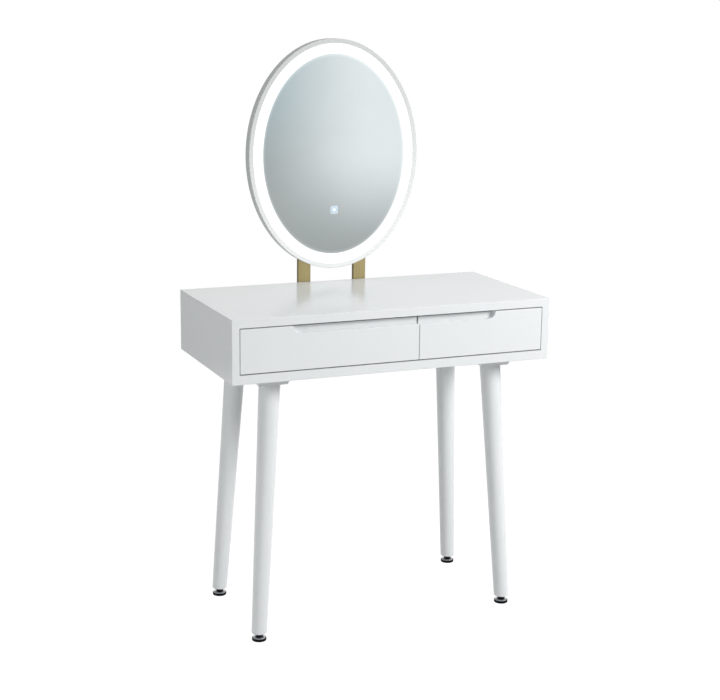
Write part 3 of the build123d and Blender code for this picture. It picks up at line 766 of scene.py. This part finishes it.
WHITE_LACQUER = Lacquer(
    "sprayed_white_lacquer",
    colour=(0.80, 0.823, 0.827),
    drift_colour=(0.792, 0.815, 0.82),
    gloss=(0.19, 0.21),
)
# The boards' lacquer carries the painted shade inside the drawer bays.
BOARD_LACQUER = BayShadedLacquer(
    "white_board_lacquer_with_painted_bay_shade",
    colour=WHITE_LACQUER.colour,
    drift_colour=WHITE_LACQUER.drift_colour,
    gloss=WHITE_LACQUER.gloss,
)
SOLE_RUBBER = MouldedPlastic(
    "sole_rubber",
    colour=(0.002, 0.002, 0.0022),
    worn=(0.006, 0.006, 0.0062),
    roughness=0.62,
    specular=0.08,
)
# A real nut; its black also stands in as a painted dark reflection and shade at the foot's centre.
NUT_BLACK_AND_PAINTED_REFLECTION = PlatedMetal("black_nut_and_painted_reflection", (0.018, 0.018, 0.02), (0.03, 0.03, 0.032), gloss=(0.22, 0.34))
TOUCH_WINDOW = LitSheet(
    "touch_window", (0.34, 0.40, 0.44), (0.40, 0.48, 0.54), (0.34, 0.42, 0.48), strength=0.7
)
TOUCH_LAMP = LitSheet("touch_lamp", (0.5, 0.54, 0.58), (0.95, 0.98, 1.0), (0.9, 0.95, 1.0), strength=0.8)
DIODE_LENS = LitSheet("diode_lens", (0.86, 0.78, 0.4), (1.0, 0.97, 0.9), (0.96, 0.92, 0.8), strength=1.0)
FINISHES: dict[Slot, Finish] = {
    Slot.LACQUER: WHITE_LACQUER,
    Slot.DRAWER_BOARD: FoilBoard("white_foil_board", (0.76, 0.765, 0.755), (0.70, 0.70, 0.685)),
    Slot.HARDBOARD: FibreBoard("white_hardboard", (0.74, 0.745, 0.74), (0.64, 0.635, 0.61)),
    Slot.BACKING: FibreBoard("painted_fibreboard", (0.66, 0.665, 0.66), (0.55, 0.545, 0.53)),
    Slot.BEECH: Timber("bare_beech", (0.58, 0.42, 0.25), (0.40, 0.25, 0.13)),
    # The third colour is the painted shade on the posts' narrow sides.
    Slot.GOLD_METAL: BrushedMetal(
        "brushed_gold", (0.775, 0.62, 0.318), (0.544, 0.431, 0.207), (0.29, 0.247, 0.13), gloss=(0.42, 0.52)
    ),
    Slot.GOLD_PLASTIC: MouldedPlastic(
        "gold_plastic", (0.36, 0.28, 0.12), (0.43, 0.34, 0.16), roughness=0.4, metallic=0.3
    ),
    Slot.FRAME_PAINT: FramePaint(
        "silver_grey_paint",
        colour=(0.60, 0.612, 0.609),
        drift_colour=(0.59, 0.602, 0.599),
        gloss=(0.46, 0.52),
        coat=0.0,
        peel_depth=0.000001,
    ),
    Slot.MIRROR: SilveredGlass("silvered_glass", (0.86, 0.91, 0.92), (0.83, 0.885, 0.895)),
    Slot.OPAL: LitSheet(
        "lit_opal_acrylic", (0.24, 0.24, 0.245), (1.0, 1.0, 1.0), (0.97, 0.985, 0.99), strength=0.86
    ),
    Slot.LED_TAPE: CircuitBoard("white_circuit_tape", (0.78, 0.78, 0.74), (0.68, 0.6, 0.42), pitch=0.02),
    Slot.SENSOR: CircuitBoard("green_circuit_board", (0.012, 0.09, 0.035), (0.05, 0.2, 0.08), pitch=0.01),
    Slot.DRIVER: MouldedPlastic(
        "black_housing_plastic", (0.016, 0.016, 0.018), (0.03, 0.03, 0.033), roughness=0.5
    ),
    Slot.ZINC: PlatedMetal("bright_zinc", (0.62, 0.63, 0.64), (0.56, 0.57, 0.55), gloss=(0.24, 0.40)),
    Slot.FOOT_CHROME: PlatedMetal(
        "bright_chrome",
        (0.46, 0.46, 0.47),
        (0.42, 0.42, 0.43),
        gloss=(0.05, 0.10),
        mottle=Grain(0.012, detail=4.0, roughness=0.6),
    ),
}


@dataclass
class Workshop:
    """Holds the finished materials, and turns shapes into pieces that ride on the bodies."""

    finishes: dict[Slot, bpy.types.Material]
    node_slots: dict[str, Slot]

    @classmethod
    def open(cls) -> "Workshop":
        """Make every material and read which slot each solid has.

        Returns:
            The workshop.
        """
        made = {slot: finish.material() for slot, finish in FINISHES.items()}
        slots = {part["node"]: Slot(part["material_slot"]) for part in frame["record"]["subparts"]}
        return cls(made, slots)

    def dress(self, *nodes: str, finish: bpy.types.Material | None = None) -> None:
        """Give solids a finish.

        Args:
            nodes: The solids' names.
            finish: The finish, or none for that of each solid's own slot.
        """
        for name in nodes:
            slots = frame["nodes"][name].data.materials
            slots.clear()
            slots.append(finish or self.finishes[self.node_slots[name]])
            LOG.info("%s has the finish %s", name, slots[0].name)

    @staticmethod
    def extra(finish: Finish) -> bpy.types.Material:
        """A finish that no slot of the record has, made once."""
        return bpy.data.materials.get(finish.name) or finish.material()

    @staticmethod
    def piece(
        name: str, shape: bmesh.types.BMesh, finish: bpy.types.Material, body: str, slot: Slot | None = None
    ) -> bpy.types.Object:
        """Turn a shape into a piece.

        Args:
            name: The piece's name.
            shape: The shape, in place. It is used up.
            finish: The piece's material.
            body: The body that it rides on.
            slot: The record's slot that the finish comes from, if any. It is not used.

        Returns:
            The piece.
        """
        for face in shape.faces:
            face.smooth = True
        for edge in shape.edges:
            edge.smooth = edge.is_manifold and edge.calc_face_angle(0.0) < SMOOTH_ANGLE
        mesh = bpy.data.meshes.new(name)
        shape.to_mesh(mesh)
        shape.free()
        mesh.materials.append(finish)
        made = bpy.data.objects.new(name, mesh)
        bpy.context.scene.collection.objects.link(made)
        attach(made, body)
        LOG.info("%s rides on %s with %d faces", name, body, len(mesh.polygons))
        return made


def bevel(shape: bmesh.types.BMesh, edges: list[bmesh.types.BMEdge], offset: float, segments: int) -> None:
    """Bevel edges of a shape with a round profile.

    Args:
        shape: The shape.
        edges: Those of its edges that are bevelled.
        offset: The distance from an edge to the bevel's border.
        segments: How many faces go across the bevel.
    """
    bmesh.ops.bevel(
        shape,
        geom=edges,
        offset=offset,
        segments=segments,
        profile=0.5,
        affect="EDGES",
        material=-1,
    )


def turned(profile: list[Span], centre: Point, steps: int) -> bmesh.types.BMesh:
    """Turn a profile about an upright axis, as on a lathe.

    Args:
        profile: Points of the profile, as radius and height. It starts and ends on the axis.
        centre: The foot of the axis.
        steps: How many faces go round.

    Returns:
        The closed shape.
    """
    shape = bmesh.new()
    points = [shape.verts.new((centre[0] + radius, centre[1], centre[2] + up)) for radius, up in profile]
    line = [shape.edges.new(pair) for pair in zip(points, points[1:])]
    bmesh.ops.spin(
        shape,
        geom=points + line,
        cent=centre,
        axis=UP,
        angle=math.tau,
        steps=steps,
        use_merge=True,
    )
    bmesh.ops.remove_doubles(shape, verts=shape.verts, dist=MERGE_DISTANCE)
    bmesh.ops.recalc_face_normals(shape, faces=shape.faces)
    return shape


def rounded_plate(size: Point, centre: Point, corner: float, soften: float) -> bmesh.types.BMesh:
    """A plate that faces the front, with rounded corners and a softened front edge.

    Args:
        size: Its width, depth and height.
        centre: Its centre.
        corner: The radius of the corners.
        soften: The width of the softened front edge.

    Returns:
        The plate.
    """
    shape = bmesh.new()
    stretch = Matrix.LocRotScale(Vector(centre), None, Vector(size))
    bmesh.ops.create_cube(shape, size=1.0, matrix=stretch)
    deep = [edge for edge in shape.edges if abs(edge.verts[0].co.y - edge.verts[1].co.y) > size[1] / 2]
    bevel(shape, deep, corner, CORNER_SEGMENTS)
    front_y = centre[1] - size[1] / 2
    front = [
        edge for edge in shape.edges if all(abs(vert.co.y - front_y) < PLANE_PLAY for vert in edge.verts)
    ]
    bevel(shape, front, soften, EDGE_SEGMENTS)
    return shape


@dataclass
class Carcass:
    """The lacquered box of the table, with its fittings."""

    boards: tuple[str, ...] = ("top_panel", "bottom_panel", "left_side_panel", "right_side_panel")
    fittings: tuple[str, ...] = (
        "carcass_dowels",
        "cam_bolts",
        "cam_locks",
        "back_panel_screws",
        "left_bay_cabinet_rails",
        "right_bay_cabinet_rails",
        "cabinet_rail_screws",
    )

    def build(self, shop: Workshop) -> None:
        """Dress the boards and the fittings."""
        shop.dress(*self.boards, "centre_divider", finish=shop.extra(BOARD_LACQUER))
        shop.dress("back_panel", *self.fittings)


@dataclass
class DrawerBox:
    """One drawer with its front, box, rails and ball cages."""

    side: Side
    parts: tuple[str, ...] = (
        "front",
        "left_side",
        "right_side",
        "back",
        "bottom",
        "dowels",
        "rails",
        "screws",
    )

    def build(self, shop: Workshop) -> None:
        """Dress the drawer's solids."""
        shop.dress(*(f"{self.side.value}_drawer_{part}" for part in self.parts))
        shop.dress(f"{self.side.value}_ball_cages")


@dataclass
class LevellingFoot:
    """One screw-in foot: a black sole, a bright dome, a black nut whose black also stands in as a painted
    dark reflection and shade, and a zinc stem with a thread.
    """

    corner: Corner
    sole_radius: float = 17 * MM
    sole_height: float = 6.2 * MM
    sole_bevel: float = 0.5 * MM
    tread_depth: float = 0.5 * MM
    tread_shares: Span = (0.62, 0.74)
    dome_radius: float = 15.4 * MM
    dome_top_radius: float = 9.2 * MM
    dome_top: float = 9.8 * MM
    dome_steps: int = 10
    nut_sides: int = 6
    nut_radius: float = 9.0 * MM
    nut_height: float = 6.5 * MM
    nut_bevel: float = 0.6 * MM
    collar_radius: float = 5.5 * MM
    collar_top: float = 18.5 * MM
    collar_bevel: float = 0.6 * MM
    thread_radius: float = 4.0 * MM
    thread_root: float = 3.45 * MM
    thread_pitch: float = 1.25 * MM
    thread_top: float = 45 * MM
    thread_sink: float = 0.05 * MM
    thread_flank: float = 0.44
    thread_crest: float = 0.07
    thread_steps: int = 24
    round_steps: int = 48

    def build(self, shop: Workshop) -> None:
        """Make the sole, the dome, the nut and the stem in place of the plain solid.

        Args:
            shop: The workshop with the materials.
        """
        node = f"{self.corner.value}_levelling_foot"
        body = f"{self.corner.value}_foot"
        low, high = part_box(node)
        centre = ((low.x + high.x) / 2, (low.y + high.y) / 2, 0.0)
        shop.piece(f"{self.corner.value}_foot_sole", self._sole(centre), shop.extra(SOLE_RUBBER), body)
        dome = shop.piece(
            f"{self.corner.value}_foot_dome",
            self._dome(centre),
            shop.finishes[Slot.FOOT_CHROME],
            body,
            Slot.FOOT_CHROME,
        )
        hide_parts(node)
        # The nut's black is partly a painted dark reflection and shade at the foot's centre.
        shop.piece(f"{self.corner.value}_foot_nut", self._nut(centre), shop.extra(NUT_BLACK_AND_PAINTED_REFLECTION), body)
        stem = self._stem(centre)
        self._add_thread(stem, centre)
        shop.piece(f"{self.corner.value}_foot_stem", stem, shop.finishes[Slot.ZINC], body, Slot.ZINC)

    def _sole(self, centre: Point) -> bmesh.types.BMesh:
        """The rubber disc on the floor, with a tread groove.

        Args:
            centre: The foot's middle on the floor.

        Returns:
            The disc.
        """
        groove, lip = (share * self.sole_radius for share in self.tread_shares)
        profile = [
            (0.0, 0.0),
            (groove, 0.0),
            (groove, self.tread_depth),
            (lip, self.tread_depth),
            (lip, 0.0),
            (self.sole_radius - self.sole_bevel, 0.0),
            (self.sole_radius, self.sole_bevel),
            (self.sole_radius, self.sole_height - self.sole_bevel),
            (self.sole_radius - self.sole_bevel, self.sole_height),
            (0.0, self.sole_height),
        ]
        return turned(profile, centre, self.round_steps)

    def _dome(self, centre: Point) -> bmesh.types.BMesh:
        """The bright metal cup over the sole.

        Args:
            centre: The foot's middle on the floor.

        Returns:
            The cup.
        """
        profile = [(0.0, self.sole_height)]
        span = self.dome_radius - self.dome_top_radius
        rise = self.dome_top - self.sole_height
        for step in range(self.dome_steps + 1):
            angle = math.pi / 2 * step / self.dome_steps
            radius = self.dome_top_radius + span * math.cos(angle)
            profile.append((radius, self.sole_height + rise * math.sin(angle)))
        profile.append((0.0, self.dome_top))
        return turned(profile, centre, self.round_steps)

    def _nut(self, centre: Point) -> bmesh.types.BMesh:
        """The six-sided nut on the dome, with bevelled edges.

        Args:
            centre: The foot's middle on the floor.

        Returns:
            The nut.
        """
        shape = bmesh.new()
        middle = Vector(centre) + Vector((0.0, 0.0, self.dome_top + self.nut_height / 2))
        bmesh.ops.create_cone(
            shape,
            cap_ends=True,
            segments=self.nut_sides,
            radius1=self.nut_radius,
            radius2=self.nut_radius,
            depth=self.nut_height,
            matrix=Matrix.Translation(middle),
        )
        bevel(shape, list(shape.edges), self.nut_bevel, EDGE_SEGMENTS)
        return shape

    def _stem(self, centre: Point) -> bmesh.types.BMesh:
        """The collar and the core of the stud, on one turned bar.

        Args:
            centre: The foot's middle on the floor.

        Returns:
            The bar.
        """
        collar_bottom = self.dome_top + self.nut_height
        profile = [
            (0.0, collar_bottom),
            (self.collar_radius - self.collar_bevel, collar_bottom),
            (self.collar_radius, collar_bottom + self.collar_bevel),
            (self.collar_radius, self.collar_top - self.collar_bevel),
            (self.collar_radius - self.collar_bevel, self.collar_top),
            (self.thread_root, self.collar_top),
            (self.thread_root, self.thread_top - self.collar_bevel),
            (self.thread_root - self.collar_bevel, self.thread_top),
            (0.0, self.thread_top),
        ]
        return turned(profile, centre, self.round_steps)

    def _add_thread(self, stem: bmesh.types.BMesh, centre: Point) -> None:
        """Wind the thread's ridge round the core, one turn to a pitch.

        Args:
            stem: The bar, which gains the ridge.
            centre: The foot's middle on the floor.
        """
        start = self.collar_top + self.thread_pitch / 2
        turns = int((self.thread_top - self.collar_top) / self.thread_pitch) - 1
        root = self.thread_root - self.thread_sink
        flank = self.thread_pitch * self.thread_flank
        crest = self.thread_pitch * self.thread_crest
        ridge = [(root, -flank), (self.thread_radius, -crest), (self.thread_radius, crest), (root, flank)]
        verts = [stem.verts.new((centre[0] + radius, centre[1], start + up)) for radius, up in ridge]
        face = stem.faces.new(verts)
        steps = self.thread_steps * turns
        bmesh.ops.spin(
            stem,
            geom=[face],
            cent=centre,
            axis=UP,
            dvec=(0.0, 0.0, turns * self.thread_pitch / steps),
            angle=math.tau * turns,
            steps=steps,
        )
        bmesh.ops.recalc_face_normals(stem, faces=stem.faces)


@dataclass
class LegSet:
    """The four splayed legs with their blocks, fasteners and feet."""

    fittings: tuple[str, ...] = ("leg_block_screws", "leg_hanger_bolts", "foot_inserts")

    def build(self, shop: Workshop) -> None:
        """Dress the legs and the blocks, and make the feet.

        Args:
            shop: The workshop with the materials.
        """
        for corner in Corner:
            shop.dress(f"{corner.value}_leg", f"{corner.value}_leg_block")
            LevellingFoot(corner).build(shop)
        shop.dress(*self.fittings)


@dataclass
class PostPair:
    """The two flat gold posts that carry the mirror."""

    parts: tuple[str, ...] = ("left_mirror_post", "right_mirror_post", "post_end_caps", "post_screws")

    def build(self, shop: Workshop) -> None:
        """Dress the posts."""
        shop.dress(*self.parts)


@dataclass
class MirrorUnit:
    """The oval mirror with its lit ring, its touch mark and the electrics behind."""

    parts: tuple[str, ...] = (
        "mirror_frame",
        "light_ring",
        "mirror_glass",
        "led_strip",
        "mirror_backing",
        "frame_brackets",
        "mirror_small_screws",
        "touch_sensor",
        "driver_housing",
        "power_inlet",
    )
    mark_size: float = 20.5 * MM
    mark_corner: float = 4.0 * MM
    mark_thickness: float = 0.2 * MM
    lamp_radius: float = 3.4 * MM
    lamp_roundness: float = 0.98
    lamp_thickness: float = 0.35 * MM
    soft_share: float = 1 / 3
    chip_count: int = 96
    chip_size: Point = (3.2 * MM, 0.9 * MM, 2.8 * MM)
    chip_bevel: float = 0.15 * MM
    chip_bevel_segments: int = 1
    lens_sides: int = 10
    lens_radius: float = 1.1 * MM
    lens_height: float = 0.2 * MM
    lens_taper: float = 0.8
    strip_width: float = 8 * MM

    def build(self, shop: Workshop) -> None:
        """Dress the mirror's solids and add the touch mark and the diodes.

        Args:
            shop: The workshop with the materials.
        """
        shop.dress(*self.parts)
        self._touch_mark(shop)
        self._diodes(shop)

    def _touch_mark(self, shop: Workshop) -> None:
        """Set the frosted window and its small lamp on the glass, over the sensor.

        Args:
            shop: The workshop with the materials.
        """
        low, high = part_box("touch_sensor")
        glass_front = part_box("mirror_glass")[0].y
        x, z = (low.x + high.x) / 2, (low.z + high.z) / 2
        window = rounded_plate(
            (self.mark_size, self.mark_thickness, self.mark_size),
            (x, glass_front - self.mark_thickness / 2, z),
            self.mark_corner,
            self.mark_thickness * self.soft_share,
        )
        shop.piece("touch_window", window, shop.extra(TOUCH_WINDOW), "table")
        lamp = rounded_plate(
            (2 * self.lamp_radius, self.lamp_thickness, 2 * self.lamp_radius),
            (x, glass_front - self.lamp_thickness / 2, z),
            self.lamp_radius * self.lamp_roundness,
            self.lamp_thickness * self.soft_share,
        )
        shop.piece("touch_lamp", lamp, shop.extra(TOUCH_LAMP), "table")

    def _diodes(self, shop: Workshop) -> None:
        """Set the light-emitting diodes along the strip behind the ring.

        Args:
            shop: The workshop with the materials.
        """
        low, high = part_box("led_strip")
        middle = (low + high) / 2
        half_width = (high.x - low.x - self.strip_width) / 2
        half_height = (high.z - low.z - self.strip_width) / 2
        chips, lenses = bmesh.new(), bmesh.new()
        for number in range(self.chip_count):
            angle = math.tau * (number + 0.5) / self.chip_count
            out, up = half_width * math.cos(angle), half_height * math.sin(angle)
            point = Vector((middle.x + out, low.y - self.chip_size[1] / 2, middle.z + up))
            slope = math.atan2(half_width * math.sin(angle), half_height * math.cos(angle))
            place = Matrix.Translation(point) @ Matrix.Rotation(-slope, 4, "Y")
            bmesh.ops.create_cube(chips, size=1.0, matrix=place @ Matrix.Diagonal((*self.chip_size, 1.0)))
            face_on = Matrix.Rotation(math.pi / 2, 4, "X")
            front = Matrix.Translation(Vector((0.0, -self.chip_size[1] / 2, 0.0)))
            bmesh.ops.create_cone(
                lenses,
                cap_ends=True,
                segments=self.lens_sides,
                radius1=self.lens_radius,
                radius2=self.lens_radius * self.lens_taper,
                depth=self.lens_height,
                matrix=place @ front @ face_on,
            )
        bevel(chips, list(chips.edges), self.chip_bevel, self.chip_bevel_segments)
        shop.piece("led_chips", chips, shop.finishes[Slot.LED_TAPE], "table", Slot.LED_TAPE)
        shop.piece("led_lenses", lenses, shop.extra(DIODE_LENS), "table")


@dataclass(frozen=True)
class Softbox:
    """One square soft lamp, which reflections don't show: its place, its aim, its side and its watts."""

    name: str
    place: Point
    aim: Point
    side: float
    power: float

    def hang(self) -> None:
        """Hang the lamp in the scene."""
        light = bpy.data.lights.new(self.name, "AREA")
        light.shape = "SQUARE"
        light.size = self.side
        light.energy = self.power
        lamp = bpy.data.objects.new(self.name, light)
        lamp.location = self.place
        lamp.rotation_euler = (Vector(self.aim) - Vector(self.place)).to_track_quat("-Z", "Y").to_euler()
        lamp.visible_glossy = False
        bpy.context.scene.collection.objects.link(lamp)


@dataclass
class Studio:
    """The floor, the lamps, the surroundings and the camera."""

    focal_pixels: float = 1482.3
    image_width: int = 720
    sensor_width: float = 36.0
    camera_place: Point = (-1.3942, -3.2476, 1.4350)
    yaw: float = math.radians(23.179)
    pitch: float = math.radians(12.668)
    roll: float = math.radians(0.704)
    floor_sides: int = 96
    floor_radius: float = 2.6
    floor_colour: Colour = (0.50, 0.503, 0.503)
    floor_roughness: float = 0.9
    floor_lift: float = 0.56
    floor_glow: float = 1.63
    fill: Colour = (0.312, 0.316, 0.317)
    key: Softbox = Softbox("key_softbox", (2.0, -2.35, 2.4), (0.1, 0.0, 0.75), side=1.3, power=108.0)
    top: Softbox = Softbox("top_softbox", (0.2, -0.3, 3.4), (0.0, 0.0, 0.8), side=2.4, power=4.5)
    left: Softbox = Softbox("left_softbox", (-3.0, -0.9, 0.85), (-0.3, 0.0, 0.45), side=1.6, power=23.0)
    mirror_view: Point = (0.3746, -0.9226, -0.0924)
    bright_across: Span = (-0.061, 0.027)
    bright_above: Span = (-0.0675, 0.0068)
    dim_above: Span = (-0.03, 0.06)
    wall_bright: Colour = (0.89, 0.90, 0.90)
    wall_dim_low: Colour = (0.41, 0.42, 0.415)
    wall_dim_high: Colour = (0.42, 0.50, 0.53)
    white: Colour = (1.0, 1.0, 1.0)
    backdrop_way: Point = (0.40, 0.91, 0.10)
    backdrop_spread: Span = (0.72, 0.94)

    def build(self) -> None:
        """Make the stage, the lamps, the world and the camera."""
        self._floor()
        for lamp in (self.key, self.top, self.left):
            lamp.hang()
        self._world()
        self._camera()
        bpy.context.scene.view_settings.view_transform = "Standard"

    @staticmethod
    def _seen(graph: Graph) -> tuple[Signal, Signal]:
        """Switches for rays that show the background.

        Args:
            graph: The nodes of the floor or the world.

        Returns:
            One signal for straight rays, and one for bent or mirrored rays.
        """
        path = graph.node("ShaderNodeLightPath").socket.node
        camera, glossy, through = (
            Signal(graph, path.outputs[name])
            for name in ("Is Camera Ray", "Is Glossy Ray", "Is Transmission Ray")
        )
        return camera, glossy | through

    def _floor(self) -> None:
        """A pale round floor that looks white and keeps the shadow."""
        shape = bmesh.new()
        bmesh.ops.create_circle(shape, cap_ends=True, segments=self.floor_sides, radius=self.floor_radius)
        mesh = bpy.data.meshes.new("floor")
        shape.to_mesh(mesh)
        shape.free()
        floor = bpy.data.objects.new("floor", mesh)
        bpy.context.scene.collection.objects.link(floor)
        made = bpy.data.materials.new("studio_floor")
        made.use_nodes = True
        graph = Graph(made.node_tree)
        camera, bent = self._seen(graph)
        sockets = {"Base Color": self.floor_colour, "Roughness": self.floor_roughness}
        paint = graph.node("ShaderNodeBsdfPrincipled", None, sockets)
        glow = graph.node("ShaderNodeEmission", None, {"Strength": self.floor_glow})
        factor = (camera | bent) * self.floor_lift
        shader = graph.node("ShaderNodeMixShader", None, {0: factor, 1: paint, 2: glow})
        graph.node("ShaderNodeOutputMaterial", None, {"Surface": shader})
        mesh.materials.append(made)

    def _world(self) -> None:
        """White behind the object, even fill on it, and a grey studio wall in its reflections."""
        world = bpy.data.worlds.new("studio")
        bpy.context.scene.world = world
        world.use_nodes = True
        graph = Graph(world.node_tree)
        camera, bent = self._seen(graph)
        way = graph.node("ShaderNodeTexCoord", output="Generated")
        ahead = Vector(self.mirror_view).normalized()
        right = Vector(UP).cross(ahead).normalized()
        up = ahead.cross(right).normalized()
        across, above, behind = (
            graph.node("ShaderNodeVectorMath", {"operation": "DOT_PRODUCT"}, {0: way, 1: axis}, "Value")
            for axis in (tuple(right), tuple(up), self.backdrop_way)
        )
        bright = across.step(*self.bright_across) * above.step(*self.bright_above)
        dim = graph.mix(above.step(*self.dim_above), self.wall_dim_low, self.wall_dim_high)
        wall = graph.mix(bright, dim, self.wall_bright)
        around = graph.mix(behind.step(*self.backdrop_spread), wall, self.white)
        seen = graph.mix(bent, self.fill, around)
        colour = graph.mix(camera, seen, self.white)
        shader = graph.node("ShaderNodeBackground", None, {"Color": colour, "Strength": 1.0})
        graph.node("ShaderNodeOutputWorld", None, {"Surface": shader})

    def _camera(self) -> None:
        """Stand the camera where the photograph was taken."""
        ahead = Vector(
            (
                math.sin(self.yaw) * math.cos(self.pitch),
                math.cos(self.yaw) * math.cos(self.pitch),
                -math.sin(self.pitch),
            )
        )
        level = Vector((math.cos(self.yaw), -math.sin(self.yaw), 0.0))
        plumb = level.cross(ahead)
        right = level * math.cos(self.roll) + plumb * math.sin(self.roll)
        up = plumb * math.cos(self.roll) - level * math.sin(self.roll)
        lens = bpy.data.cameras.new("photo_camera")
        lens.sensor_fit = "HORIZONTAL"
        lens.sensor_width = self.sensor_width
        lens.lens = self.focal_pixels * self.sensor_width / self.image_width
        camera = bpy.data.objects.new("photo_camera", lens)
        turn = Matrix((right, up, -ahead)).transposed().to_4x4()
        camera.matrix_world = Matrix.Translation(Vector(self.camera_place)) @ turn
        bpy.context.scene.collection.objects.link(camera)
        bpy.context.scene.camera = camera


def main() -> None:
    """Build the studio and every sub-assembly in order."""
    logging.basicConfig(level=logging.INFO, format="%(name)s: %(message)s")
    Studio().build()
    shop = Workshop.open()
    Carcass().build(shop)
    for side in Side:
        DrawerBox(side).build(shop)
    LegSet().build(shop)
    PostPair().build(shop)
    MirrorUnit().build(shop)


if __name__ == "__main__":
    main()
